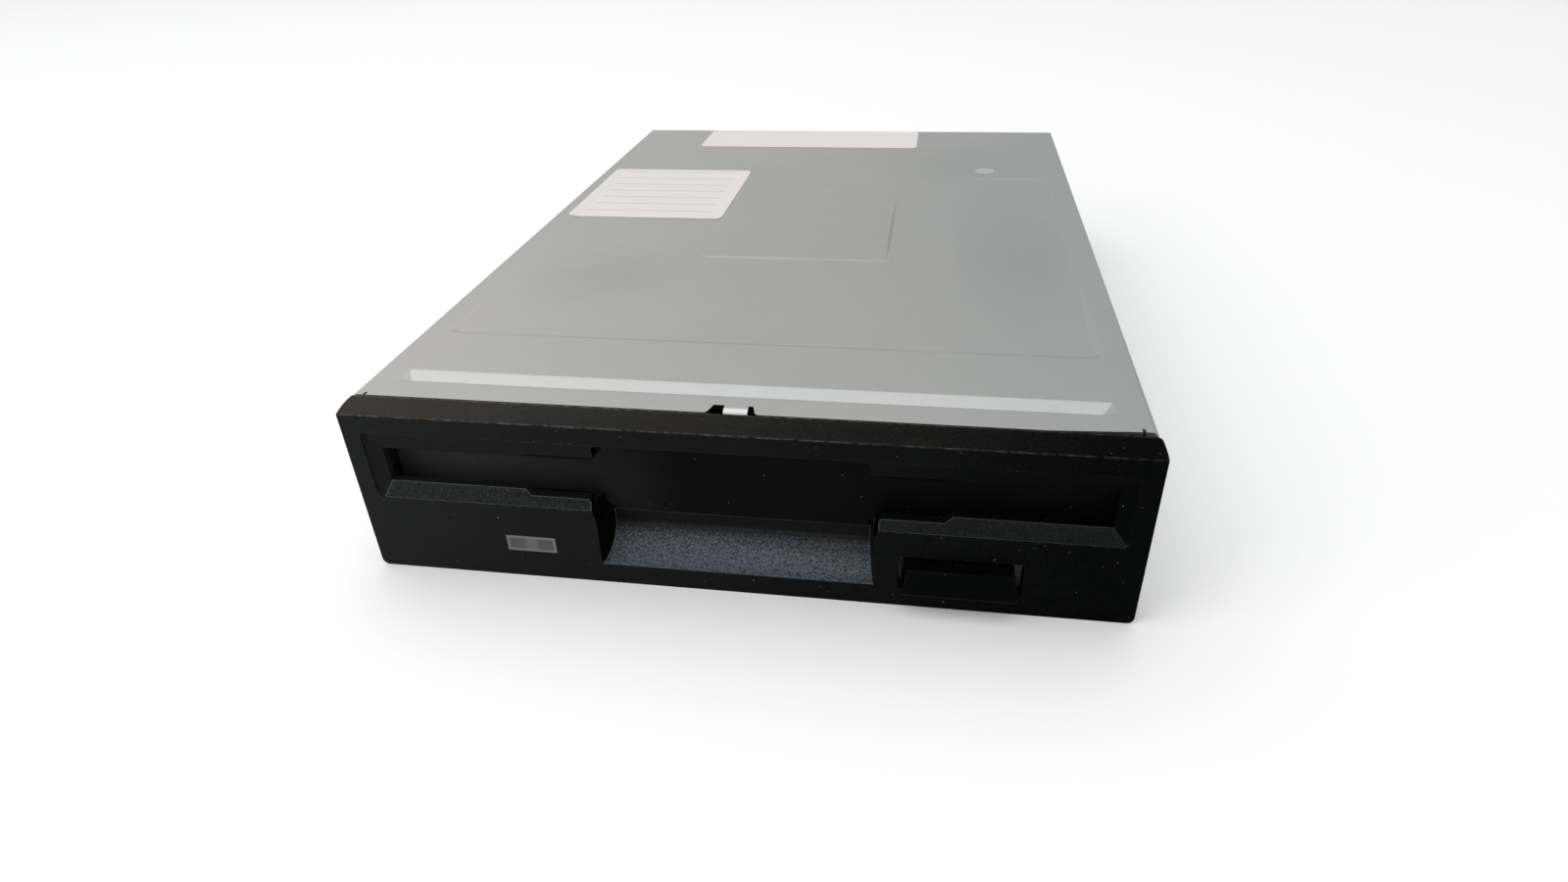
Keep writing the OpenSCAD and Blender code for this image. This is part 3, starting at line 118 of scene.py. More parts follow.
def start(name, **values):
    made = bpy.data.materials.new(name)
    made.use_nodes = True
    tree = made.node_tree
    tree.nodes.clear()
    shader = add(tree, "ShaderNodeBsdfPrincipled", {k.replace("_", " "): v for k, v in values.items()})
    add(tree, "ShaderNodeOutputMaterial", {"Surface": shader.outputs["BSDF"]})
    place = add(tree, "ShaderNodeTexCoord").outputs["Object"]
    return made, tree, shader, place


def per_mm(size):
    return 1000.0 / size


def calc(tree, operation, *values, **settings):
    return add(tree, "ShaderNodeMath", dict(enumerate(values)), operation=operation, **settings).outputs[0]


def ranged(tree, value, given, wanted=(0.0, 1.0), **settings):
    ends = dict(zip(("From Min", "From Max", "To Min", "To Max"), given + wanted))
    return add(tree, "ShaderNodeMapRange", {"Value": value, **ends}, **settings).outputs[0]


def mix(tree, factor, under, over, kind="RGBA"):
    inputs = {"Factor": factor, "A": under, "B": over}
    return add(tree, "ShaderNodeMix", inputs, data_type=kind).outputs["Result"]


def noise(tree, place, size_mm, detail, **more):
    inputs = {"Vector": place, "Scale": per_mm(size_mm), "Detail": detail, **more}
    return add(tree, "ShaderNodeTexNoise", inputs).outputs["Fac"]


def axes_of(tree, vector):
    return add(tree, "ShaderNodeSeparateXYZ", {"Vector": vector}).outputs


def normal_of(tree):
    return add(tree, "ShaderNodeNewGeometry").outputs["Normal"]


def bumped(tree, shader, strength, depth, height):
    bump = add(tree, "ShaderNodeBump", {"Strength": strength, "Distance": depth, "Height": height})
    tree.links.new(bump.outputs["Normal"], shader.inputs["Normal"])


# a mask on edges, used for rubbed wear and for painted highlights along edges
def edge_wear_and_sheen(tree, radius, agreement, most):
    soft_normal = add(tree, "ShaderNodeBevel", {"Radius": radius}, samples=4).outputs["Normal"]
    edge = add(tree, "ShaderNodeVectorMath", {0: soft_normal, 1: normal_of(tree)}, operation="DOT_PRODUCT")
    return ranged(tree, edge.outputs["Value"], agreement, (0.0, most))


def dusted(tree, place, under, cell_mm, share, colour):
    motes = add(tree, "ShaderNodeTexVoronoi", {"Vector": place, "Scale": per_mm(cell_mm)})
    mote = ranged(tree, motes.outputs["Distance"], (0.045, 0.095), (0.7, 0.0))
    picked = add(tree, "ShaderNodeSeparateColor", {"Color": motes.outputs["Color"]})
    few = calc(tree, "GREATER_THAN", picked.outputs["Red"], 1.0 - share)
    fine_dust = calc(tree, "MULTIPLY", mote, few)
    return mix(tree, fine_dust, under, linear(colour))


print("#808080 is", round(linear("#808080")[0], 4), "linear; a 0.3 mm grain has scale", round(per_mm(0.3)))

# %% [markdown]
# ## Black ABS, moulded against a spark-eroded tool
#
# The bezel is injection-moulded ABS. The tool's eroded skin breaks up the mirror image, so the plastic looks
# dull and nearly black from the front: its gloss is set low to match. The real skin is about 0.1 mm fine and
# is drawn at 0.2 mm, so that it shows. The bezel's colour is painted paler towards its left end, as painted
# light from the left. Brown dust lies on its top, laid thicker where the colour is paler. The top front edge
# shows a thin broken line, partly rubbed by handling and partly a painted highlight, paler towards the left.
# The left wall of the scoop lies out of the light and is painted black, as painted shade.

# %% Black ABS of the bezel
abs_ior = 1.53
top_edge = top_z - 0.0017
scoop_left = -0.0182
bezel_abs, tree, shader, place = start(
    "abs_black_spark_eroded", Roughness=0.5, IOR=abs_ior, Specular_IOR_Level=0.02)
where = axes_of(tree, place)
facing = axes_of(tree, normal_of(tree))
grain = noise(tree, place, 0.2, 2.0, Roughness=0.6)
bumped(tree, shader, 0.9, 0.00002, grain)
tone = noise(tree, place, 14, 2.0)
# painted light: the colour grows paler towards the left end, where the light comes from
left_light = ranged(tree, where["X"], (0.048, -0.05), (-0.14, 0.86))
tone_and_left_light = calc(tree, "MULTIPLY_ADD", tone, 0.25, left_light, use_clamp=True)
mottle = noise(tree, place, 0.35, 3.0)
blotch = ranged(tree, mottle, (0.3, 0.7), (-0.09, 0.09))
uneven = calc(tree, "ADD", tone_and_left_light, blotch, use_clamp=True)
plain = mix(tree, uneven, linear("#020303"), linear("#1e201f"))
looks_up = ranged(tree, facing["Z"], (0.6, 0.93))
on_top = calc(tree, "GREATER_THAN", where["Z"], top_edge)
open_top = calc(tree, "MULTIPLY", looks_up, on_top)
# the dust follows the paler left end, so it is partly dust and partly painted light
thinning = calc(tree, "POWER", uneven, 1.7)
dust_and_left_light = calc(tree, "MULTIPLY", open_top, thinning)
powdered_and_lit = mix(tree, dust_and_left_light, plain, linear("#383430"))
# partly rubbed wear, partly a painted highlight along the top front edge, stronger towards the left
worn_and_sheen_edge = edge_wear_and_sheen(tree, 0.0003, (0.996, 0.93), 0.75)
near_top = ranged(tree, where["Z"], (top_z - 0.0021, top_edge), (0.12, 1.0))
patchy = noise(tree, place, 0.9, 3.0)
broken = ranged(tree, patchy, (0.36, 0.66))
rub_and_sheen = calc(tree, "MULTIPLY", worn_and_sheen_edge, broken)
at_top = calc(tree, "MULTIPLY", rub_and_sheen, near_top)
left_light_fade = ranged(tree, where["X"], (0.05, -0.02), (0.3, 1.0))
rub_and_sheen_line = calc(tree, "MULTIPLY", at_top, left_light_fade)
edged = mix(tree, rub_and_sheen_line, powdered_and_lit, linear("#6f716e"))
specks = add(tree, "ShaderNodeTexVoronoi", {"Vector": place, "Scale": per_mm(2.8)})
speck = calc(tree, "LESS_THAN", specks.outputs["Distance"], 0.04)
chosen = add(tree, "ShaderNodeSeparateColor", {"Color": specks.outputs["Color"]})
some = calc(tree, "GREATER_THAN", chosen.outputs["Red"], 0.6)
dust = calc(tree, "MULTIPLY", speck, some)
dusty = mix(tree, dust, edged, linear("#63625c"))
speckled = dusted(tree, place, dusty, 1.4, 0.5, "#4c4c47")
# painted shade: the left wall of the scoop is painted nearly black
at_wall = calc(tree, "COMPARE", where["X"], scoop_left, 0.0011)
side_on = ranged(tree, facing["X"], (0.3, 0.7), (0.0, 0.9))
unlit = calc(tree, "MULTIPLY", at_wall, side_on)
deep = mix(tree, unlit, speckled, linear("#010101"))
tree.links.new(deep, shader.inputs["Base Color"])
dullness = ranged(tree, grain, (0.0, 1.0), (0.42, 0.6))
tree.links.new(dullness, shader.inputs["Roughness"])
print("made", bezel_abs.name, "with", len(tree.nodes), "nodes")

# %% [markdown]
# ## Black ABS, moulded against an etched tool
#
# The finger scoop and the strips under the slot carry a coarse, leathery grain of about 0.3 mm, etched into
# the tool so that a finger finds them. Its crests catch the lamp overhead and look bluish beside the plain
# plastic; this sheen is painted into the base colour as painted light, brightest where the surface turns up,
# weaker on the strips and paler towards the left. The edges carry a thin bluish painted highlight. A second
# material on the same moulding gives it.

# %% Leathery ABS
strips_begin = (0.0105, 0.011)
leather_abs, tree, shader, place = start(
    "abs_black_etched_leather", Roughness=0.42, IOR=abs_ior, Specular_IOR_Level=0.12)
where = axes_of(tree, place)
facing = axes_of(tree, normal_of(tree))
leather = noise(tree, place, 0.3, 2.0, Roughness=0.55, Distortion=0.3)
bumped(tree, shader, 0.8, 0.00014, leather)
crest = ranged(tree, leather, (0.36, 0.68), (0.3, 1.7))
# painted sheen: crests are painted brighter where the surface faces up, weaker on the strips and to the right
lit = ranged(tree, facing["Z"], (0.14, 0.95))
left_light = ranged(tree, where["X"], (0.045, 0.0), (0.45, 1.0))
on_strip = ranged(tree, where["Z"], strips_begin, (1.0, 0.12))
shaded = calc(tree, "MULTIPLY", lit, on_strip)
harshness = ranged(tree, where["Z"], strips_begin, (1.0, 2.4))
crests = calc(tree, "POWER", crest, harshness)
share = calc(tree, "MULTIPLY", shaded, crests)
left_lit_sheen = calc(tree, "MULTIPLY", share, left_light, use_clamp=True)
tint = mix(tree, left_lit_sheen, linear("#030404"), linear("#5d666f"))
# painted highlight: a thin bluish line along the edges, stronger towards the left
worn_and_sheen_edge = edge_wear_and_sheen(tree, 0.00022, (0.985, 0.9), 0.8)
left_sheen_edge = calc(tree, "MULTIPLY", worn_and_sheen_edge, left_light)
edged = mix(tree, left_sheen_edge, tint, linear("#6a737b"))
tree.links.new(edged, shader.inputs["Base Color"])
dull = ranged(tree, leather, (0.0, 1.0), (0.5, 0.36))
tree.links.new(dull, shader.inputs["Roughness"])
print("made", leather_abs.name, "with", len(tree.nodes), "nodes")

# %% [markdown]
# ## Black ABS, moulded smooth
#
# The dust door and the eject button come from other tools, with a finer satin skin and fewer scratches. One
# recipe makes both, each with its own depth of black. Shade is painted on the door: it turns nearly black
# under the lip of the slot on both sides of the thumb notch. Its left end is painted paler, as painted light
# from the left. The button's edges carry a thin bluish painted highlight.

# %% Black ABS of the door and the button
def satin_abs(name, dark, light, roughness, rub_and_sheen, left, lip):
    made, tree, shader, place = start(name, Roughness=roughness, IOR=abs_ior, Specular_IOR_Level=0.02)
    skin = noise(tree, place, 0.18, 2.0)
    bumped(tree, shader, 0.5, 0.000015, skin)
    tone = noise(tree, place, 9, 3.0)
    mixed = mix(tree, tone, linear(dark), linear(light))
    where = axes_of(tree, place)
    # painted light: the left end is painted paler, as light from the left
    left_light = ranged(tree, where["X"], (-0.008, -0.036))
    plain = mix(tree, left_light, mixed, linear(left))
    specks = add(tree, "ShaderNodeTexVoronoi", {"Vector": place, "Scale": per_mm(4.0)})
    speck = calc(tree, "LESS_THAN", specks.outputs["Distance"], 0.03)
    dusty = mix(tree, speck, plain, linear("#4c4b47"))
    # painted shade: the door turns nearly black under the lip of the slot, outside the thumb notch
    high_up = ranged(tree, where["Z"], (lip - 0.00045, lip), (0.0, 0.9))
    shade_end = ranged(tree, where["Z"], (0.0172, 0.0185), (0.0191, 0.0177))
    off_middle = calc(tree, "COMPARE", where["X"], 0.0, shade_end)
    in_shade = mix(tree, off_middle, high_up, 0.0, "FLOAT")
    speckled = dusted(tree, place, dusty, 1.7, 0.45, "#3c3c39")
    shaded = mix(tree, in_shade, speckled, linear("#010101"))
    # painted highlight: a thin bluish line along the edges, used on the button
    worn_and_sheen_edge = edge_wear_and_sheen(tree, 0.00025, (0.99, 0.9), rub_and_sheen)
    edged = mix(tree, worn_and_sheen_edge, shaded, linear("#3b4147"))
    tree.links.new(edged, shader.inputs["Base Color"])
    dull = ranged(tree, tone, (0.0, 1.0), (roughness - 0.06, roughness + 0.06))
    tree.links.new(dull, shader.inputs["Roughness"])
    return made


door_abs = satin_abs("abs_black_satin_door", "#090a0a", "#0e0f0f", 0.46, 0.0, "#303131", 0.017)
# the 0.6 is the strength of the painted highlight on the button's edges
button_abs = satin_abs("abs_black_satin_button", "#020303", "#040505", 0.42, 0.6, "#040505", 1.0)
print("made", door_abs.name, "and", button_abs.name)

# %% [markdown]
# ## Sheet steel, zinc plated
#
# The cover is pressed from plated sheet. Zinc is a soft grey metal: it mirrors the light as a wide blur, with
# a fine rolled grain along the sheet and faint stains where hands have held it. A metal's colour is its
# mirror colour, so stains are mostly a change of roughness. The grain is about 0.2 mm across and many times
# longer, which a stretched noise gives.

# %% Zinc-plated steel
def zinc_steel(name, dark, light, rough, grain_depth, marks_mm):
    made, tree, shader, place = start(name, Metallic=1.0, Roughness=rough)
    stretched = add(tree, "ShaderNodeMapping", {"Vector": place, "Scale": (1.0, 0.06, 1.0)})
    rolled = noise(tree, stretched.outputs[0], 0.22, 3.0, Roughness=0.6)
    mottle = noise(tree, place, 3.5, 4.0)
    stains = noise(tree, place, 30, 2.0, Distortion=0.4)
    mixed = calc(tree, "MULTIPLY_ADD", mottle, 0.4, stains)
    where = axes_of(tree, place)
    tilted = calc(tree, "MULTIPLY_ADD", where["X"], -9.0, mixed)
    share = ranged(tree, tilted, (0.1, 1.3))
    tint = mix(tree, share, linear(dark), linear(light))
    for x_mm, y_mm, reach_mm, length_mm, strength, colour in marks_mm:
        mark_at = (x_mm / 1000, face_y + y_mm / 1000, top_z)
        squeeze = (1.0, reach_mm / length_mm, 1.0)
        offset = add(tree, "ShaderNodeVectorMath", {0: place, 1: mark_at}, operation="SUBTRACT")
        squeezed = add(
            tree, "ShaderNodeVectorMath", {0: offset.outputs["Vector"], 1: squeeze}, operation="MULTIPLY")
        away = add(tree, "ShaderNodeVectorMath", {0: squeezed.outputs["Vector"]}, operation="LENGTH")
        faded = ranged(tree, away.outputs["Value"], (reach_mm / 5000, reach_mm / 1000), (strength, 0.0),
                       interpolation_type="SMOOTHSTEP")
        uneven = calc(tree, "MULTIPLY", faded, stains)
        tint = mix(tree, uneven, tint, linear(colour))
    tree.links.new(tint, shader.inputs["Base Color"])
    dull = ranged(tree, mixed, (0.4, 0.9), (rough + 0.04, rough - 0.03))
    tree.links.new(dull, shader.inputs["Roughness"])
    bumped(tree, shader, 0.35, grain_depth, rolled)
    return made


# The cover is paler and warmer on its left, and it has dull, bluish patches; the one at the right rear is a
# painted reflection. Each mark has a place, a reach across, a reach along, a strength and a colour. The last
# one is a dark line along the edge of the raised tongue. The bead, the dimple and the tab take a brighter copy
# of the zinc, a painted highlight.
cover_marks = [
    (37.0, 64.0, 14.0, 42.0, 0.5, "#8f989b"), (-30.0, 47.0, 16.0, 16.0, 0.25, "#8f989b"),
    # the first mark here, at the right rear, is a painted reflection; the last is a dark line along the tongue
    (30.0, 116.0, 22.0, 22.0, 0.3, "#8f989b"), (15.7, 73.0, 0.4, 22.0, 0.85, "#6d7376")]
cover_zinc = zinc_steel("zinc_plated_steel_cover", "#adb0b0", "#c3c1bc", 0.46, 0.000012, cover_marks)
# painted shade: a near-black copy of the steel for the sheared walls of the notch in front
notch_shade_steel = zinc_steel("steel_sheared_painted_shade", "#161616", "#242322", 0.5, 0.00001, [])
# painted highlight: a brighter copy of the zinc for the slopes of the bead, the dimple and the tab
highlight_zinc = zinc_steel("zinc_plated_steel_painted_highlight", "#c5c8c6", "#d0d1ce", 0.46, 0.00001, [])
inner_zinc = zinc_steel("zinc_plated_steel_stampings", "#9a9d9c", "#b0b3b2", 0.38, 0.00001, [])
print("made", cover_zinc.name, highlight_zinc.name, notch_shade_steel.name, "and", inner_zinc.name)

# %% [markdown]
# ## Metals inside and below
#
# The frame is die-cast aluminium: pale, with a cloudy skin from the die. Rods, pins and the lead screw are
# ground bar, screws are plated, and springs are drawn wire. The bearing and the contacts are copper alloys.
# All are one recipe with different colours, roughness and grain.

# %% Other metals
def bare_metal(name, dark, light, rough, cloud_mm, grain_mm, depth):
    made, tree, shader, place = start(name, Metallic=1.0, Roughness=rough)
    cloud = noise(tree, place, cloud_mm, 4.0)
    tint = mix(tree, cloud, linear(dark), linear(light))
    tree.links.new(tint, shader.inputs["Base Color"])
    dull = ranged(tree, cloud, (0.0, 1.0), (rough - 0.08, rough + 0.1))
    tree.links.new(dull, shader.inputs["Roughness"])
    grain = noise(tree, place, grain_mm, 2.0)
    bumped(tree, shader, 0.5, depth, grain)
    return made


cast_alloy = bare_metal("aluminium_die_cast", "#989a9b", "#b4b6b6", 0.5, 9.0, 0.35, 0.00003)
ground_steel = bare_metal("steel_ground_bar", "#b8babc", "#cfd1d2", 0.2, 5.0, 0.15, 0.000005)
screw_zinc = bare_metal("steel_screw_zinc_plated", "#9fa3a6", "#c2c6c8", 0.32, 2.0, 0.12, 0.000008)
spring_wire = bare_metal("steel_drawn_wire", "#7e8082", "#9a9c9e", 0.3, 1.5, 0.12, 0.000006)
stator_steel = bare_metal("steel_stacked_stampings", "#6f7173", "#8b8d8f", 0.42, 3.0, 0.2, 0.00001)
bearing_brass = bare_metal("brass_turned", "#b08d4a", "#c9a860", 0.3, 2.5, 0.15, 0.000008)
contact_gold = bare_metal("brass_gold_flashed", "#cfa24a", "#e2bd6c", 0.24, 1.5, 0.1, 0.000004)
copper_wire = bare_metal("copper_enamelled", "#8a4a2a", "#b26a3c", 0.3, 1.2, 0.2, 0.00003)

# The coils are wound round poles that point away from the spindle, so the turns of 0.25 mm wire are rings.
tree = copper_wire.node_tree
shader = next(n for n in tree.nodes if n.type == "BSDF_PRINCIPLED")
spindle_at = sum(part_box("spindle_shaft"), Vector()) / 2
place = add(tree, "ShaderNodeTexCoord").outputs["Object"]
flat_place = add(tree, "ShaderNodeVectorMath", {0: place, 1: (1.0, 1.0, 0.0)}, operation="MULTIPLY")
from_axis = add(tree, "ShaderNodeVectorMath", {
    0: flat_place.outputs["Vector"], 1: (spindle_at.x, spindle_at.y, 0.0)}, operation="DISTANCE")
phase = calc(tree, "MULTIPLY", from_axis.outputs["Value"], per_mm(0.25) * math.tau)
bumped(tree, shader, 0.8, 0.00006, calc(tree, "SINE", phase))
print("made 8 metals")

# %% [markdown]
# ## Plastics and ceramics inside
#
# Connector shells, chips and the carriage are dark moulded plastics, the lever and the plungers natural
# nylon, which is milky. Magnets and heads are ferrite, a sintered dark ceramic. Each has a fine skin and a
# slow change of tone.

# %% Plastics and ceramics
def moulding(name, dark, light, rough, skin_mm, depth):
    made, tree, shader, place = start(name, Roughness=rough, IOR=1.5)
    tone = noise(tree, place, 4.0, 3.0)
    tint = mix(tree, tone, linear(dark), linear(light))
    tree.links.new(tint, shader.inputs["Base Color"])
    skin = noise(tree, place, skin_mm, 2.0)
    bumped(tree, shader, 0.5, depth, skin)
    dull = ranged(tree, skin, (0.0, 1.0), (rough - 0.05, rough + 0.08))
    tree.links.new(dull, shader.inputs["Roughness"])
    return made


connector_black = moulding("polyester_moulded_black", "#141415", "#1f2021", 0.45, 0.25, 0.00001)
chip_epoxy = moulding("epoxy_transfer_moulded", "#121213", "#1b1b1c", 0.55, 0.2, 0.000015)
natural_nylon = moulding("nylon_moulded_natural", "#d3cbb4", "#e2dcc8", 0.4, 0.3, 0.00001)
carriage_resin = moulding("resin_glass_filled", "#2e3032", "#3b3d40", 0.5, 0.3, 0.000015)
ferrite = moulding("ferrite_sintered", "#262627", "#333334", 0.35, 0.2, 0.000008)
led_epoxy = moulding("epoxy_cast_green", "#1f6b2c", "#2f8a3f", 0.2, 0.4, 0.000004)
print("made 6 plastics and ceramics")

# %% [markdown]
# ## Smoked acrylic of the activity window
#
# The window is a light pipe of smoked acrylic pressed in from behind. It is flush with the bezel and shows
# a paler rim, where light runs along its edge, round a darker middle. The rim is painted by distance from
# the window's own edge, so it stays on the piece from every side.

# %% Smoked acrylic
lens_low, lens_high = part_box("led_lens")
lens_half = (lens_high - lens_low) / 2
lens_middle = (lens_high + lens_low) / 2
smoked_acrylic, tree, shader, place = start("acrylic_smoked_moulded", Roughness=0.22, IOR=1.49)
where = axes_of(tree, place)
off_x = calc(tree, "SUBTRACT", where["X"], lens_middle.x)
off_z = calc(tree, "SUBTRACT", where["Z"], lens_middle.z)
in_x = calc(tree, "ABSOLUTE", off_x)
in_z = calc(tree, "ABSOLUTE", off_z)
from_side = calc(tree, "SUBTRACT", lens_half.x, in_x)
from_top = calc(tree, "SUBTRACT", lens_half.z, in_z)
from_edge = calc(tree, "MINIMUM", from_side, from_top)
rim = ranged(tree, from_edge, (0.00025, 0.0005), (1.0, 0.0))
cloud = noise(tree, place, 1.6, 2.0)
middle = mix(tree, cloud, linear("#303231"), linear("#464847"))
# painted light: a paler spot in the middle of the window
spot = ranged(tree, in_x, (0.0004, 0.0013), (0.5, 0.0), interpolation_type="SMOOTHSTEP")
glowing = mix(tree, spot, middle, linear("#626563"))
framed = mix(tree, rim, glowing, linear("#616462"))
tree.links.new(framed, shader.inputs["Base Color"])
print("made", smoked_acrylic.name)

# %% [markdown]
# ## Circuit board
#
# Boards are glass and epoxy under green solder resist. Copper tracks under the resist show as slightly
# lighter, raised lines about 0.4 mm wide that run in steps. A Voronoi pattern measured along the axes
# gives such stepped lines without drawing a real circuit.

# %% Circuit board
board_green, tree, shader, place = start("glass_epoxy_green_resist", Roughness=0.3, IOR=1.55)
flat_place = add(tree, "ShaderNodeMapping", {"Vector": place, "Scale": (1.0, 1.0, 0.0)})
tracks = add(tree, "ShaderNodeTexVoronoi", {
    "Vector": flat_place.outputs[0], "Scale": per_mm(2.6), "Randomness": 0.85}, distance="CHEBYCHEV")
band = calc(tree, "MULTIPLY", tracks.outputs["Distance"], 5.0)
wave = calc(tree, "FRACT", band)
line = ranged(tree, wave, (0.45, 0.55), interpolation_type="SMOOTHSTEP")
tint = mix(tree, line, linear("#173f26"), linear("#24583a"))
tree.links.new(tint, shader.inputs["Base Color"])
bumped(tree, shader, 0.5, 0.00004, line)
print("made", board_green.name)

# %% [markdown]
# ## Giving each solid its finish
#
# A CAD solid has perfectly sharp edges, and no real edge is: moulded plastic and bent steel catch the light
# along a small round. The solids keep their meshes, so the rounding is done by modifiers. Weld joins the
# loose triangles, Decimate clears the lines inside flat faces, and Bevel rounds what is left. The widths are
# the real ones, in millimetres: up to 0.3 on a moulding, about 0.1 on sheet, and none on thin spring wire.

# %% Finishes and edges
def coat(piece, *materials):
    piece.data.materials.clear()
    for material in materials:
        piece.data.materials.append(material)


def round_edges(piece, name, width_mm, angle, harden=True):
    edges = piece.modifiers.new(name, "BEVEL")
    edges.width = width_mm / 1000
    edges.segments = 2
    edges.limit_method = "ANGLE"
    edges.angle_limit = math.radians(angle)
    edges.harden_normals = harden


same_point = 0.000002
same_plane = math.radians(0.5)
finishes = (
    (bezel_abs, {"front_bezel": 0.22}),
    (door_abs, {"dust_door": 0.15}),
    (button_abs, {"eject_button": 0.3}),
    (smoked_acrylic, {"led_lens": 0.05}),
    (cover_zinc, {"top_cover": 0.12}),
    (cast_alloy, {"chassis_frame": 0.12}),
    (inner_zinc, {"slider_plate": 0.08, "disk_carrier": 0.08, "rotor_cup": 0.1, "stepper_motor": 0.12}),
    (spring_wire, {"disk_springs": 0.05, "rod_clamps": 0.06, "eject_springs": 0, "lever_spring": 0,
                   "door_spring": 0, "arm_spring": 0}),
    (ground_steel, {"guide_rod": 0.12, "carrier_pins": 0.1, "spindle_shaft": 0.08, "drive_pin": 0.08,
                    "arm_pin": 0.08, "lead_screw": 0.08}),
    (screw_zinc, {"lever_post": 0.1, "slider_studs": 0.1, "board_screws": 0.1, "motor_screws": 0.1,
                  "stepper_screws": 0.1}),
    (bearing_brass, {"spindle_bearing": 0.1, "screw_bush": 0.08}),
    (contact_gold, {"data_pins": 0.06, "power_pins": 0.06}),
    (copper_wire, {"stator_coils": 0.2}),
    (stator_steel, {"stator_core": 0.05, "spindle_hub": 0.1}),
    (ferrite, {"rotor_magnet": 0.1, "lower_head": 0.06, "upper_head": 0.06}),
    (board_green, {"front_board": 0.05, "motor_board": 0.05, "control_board": 0.05}),
    (chip_epoxy, {"control_chips": 0.12}),
    (connector_black, {"switch_bodies": 0.12, "data_connector": 0.12, "track_zero_sensor": 0.12}),
    (natural_nylon, {"power_connector": 0.12, "trigger_lever": 0.1, "screw_follower": 0.1,
                     "disk_in_plunger": 0.08, "write_protect_plunger": 0.08, "density_plunger": 0.08}),
    (carriage_resin, {"head_carriage": 0.15, "upper_arm": 0.12}),
    (led_epoxy, {"activity_led": 0.1}),
)
dressed = set()
for finish, rounds_mm in finishes:
    for name, round_mm in rounds_mm.items():
        piece = nodes[name]
        coat(piece, finish)
        if round_mm:
            weld = piece.modifiers.new("join_triangles", "WELD")
            weld.merge_threshold = same_point
            clear = piece.modifiers.new("clear_flat_faces", "DECIMATE")
            clear.decimate_type = "DISSOLVE"
            clear.angle_limit = same_plane
            round_edges(piece, "round_edges", round_mm, 40)
        dressed.add(name)
print("dressed", len(dressed), "solids, without a finish:", sorted(set(nodes) - dressed))

# %% [markdown]
# ## Tools for modelling
#
# Some pieces need more than a modifier: the cover, whose pressed marks have soft slopes, the bezel, whose
# grain changes from face to face, and the door, screws and springs. Each is modelled on from a copy of its
# solid. The copy's loose triangles are merged and the lines inside flat faces dissolved. Then points and
# edges are picked by their place, counted in millimetres from the bezel's face, and moved or rounded.

# %% Helpers for modelling
def only(piece):
    if bpy.context.mode != "OBJECT":
        bpy.ops.object.mode_set(mode="OBJECT")
    bpy.ops.object.select_all(action="DESELECT")
    piece.select_set(True)
    bpy.context.view_layer.objects.active = piece


def merged_copy(node, name, body="frame", within=same_point):
    piece = bpy.data.objects.new(name, nodes[node].data.copy())
    bpy.context.scene.collection.objects.link(piece)
    only(piece)
    bpy.ops.object.mode_set(mode="EDIT")
    bpy.ops.mesh.select_all(action="SELECT")
    bpy.ops.mesh.remove_doubles(threshold=within)
    bpy.ops.mesh.dissolve_limited(angle_limit=same_plane)
    bpy.ops.object.mode_set(mode="OBJECT")
    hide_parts(node)
    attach(piece, body)
    return piece


def in_mm(point):
    return (point - face_at) * 1000


def pick(piece, kind, test):
    mesh = piece.data
    only(piece)
    bpy.ops.object.mode_set(mode="EDIT")
    bpy.ops.mesh.select_mode(type=kind)
    bpy.ops.mesh.select_all(action="DESELECT")
    bpy.ops.object.mode_set(mode="OBJECT")
    if kind == "VERT":
        for point in mesh.vertices:
            point.select = test(in_mm(point.co))
    else:
        sides = {}
        for face in mesh.polygons:
            for key in face.edge_keys:
                sides.setdefault(key, []).append(face.normal.z)
        for edge in mesh.edges:
            tilts = sorted(sides.get(edge.key, []))
            ends = [in_mm(mesh.vertices[i].co) for i in edge.vertices]
            edge.select = len(tilts) == 2 and test(*ends, *tilts)
    bpy.ops.object.mode_set(mode="EDIT")
    return sum(item.select for item in (mesh.vertices if kind == "VERT" else mesh.edges))


def move(piece, test, way_mm):
    count = pick(piece, "VERT", test)
    bpy.ops.transform.translate(value=[step / 1000 for step in way_mm])
    return count


def soften(piece, test, round_mm, segments):
    count = pick(piece, "EDGE", test)
    bpy.ops.mesh.bevel(offset=round_mm / 1000, segments=segments, profile=0.5, affect="EDGES")
    return count


def cut(piece, axis, places_mm):
    only(piece)
    bpy.ops.object.mode_set(mode="EDIT")
    for place_mm in places_mm:
        bpy.ops.mesh.select_all(action="SELECT")
        at = face_at.copy()
        at[axis] += place_mm / 1000
        bpy.ops.mesh.bisect(plane_co=at, plane_no=[float(i == axis) for i in range(3)], threshold=0.00001)
    bpy.ops.object.mode_set(mode="OBJECT")


print("places are counted in millimetres from the bezel's face")

# %% [markdown]
# ## The pressed cover
#
# A press can't make a sharp step in sheet: each mark runs down in a soft S. In the solid, the sunk panel has
# an upright wall 0.35 mm high. Its lower line is moved 0.6 mm inwards and its floor lifted, most at the back,
# where the real panel is shallow. The bead is moved into a trough with square ends, steep in front and rising
# slowly behind. Then the lines of the slopes, of the bead and of the folds round the outside are bevelled.
# This drive has been opened before, so the right front corner of its sheet is pushed back a little: the
# front edge is cut 38 mm from the middle, all of it is moved back 0.15 mm, and its right end 0.7 mm more.

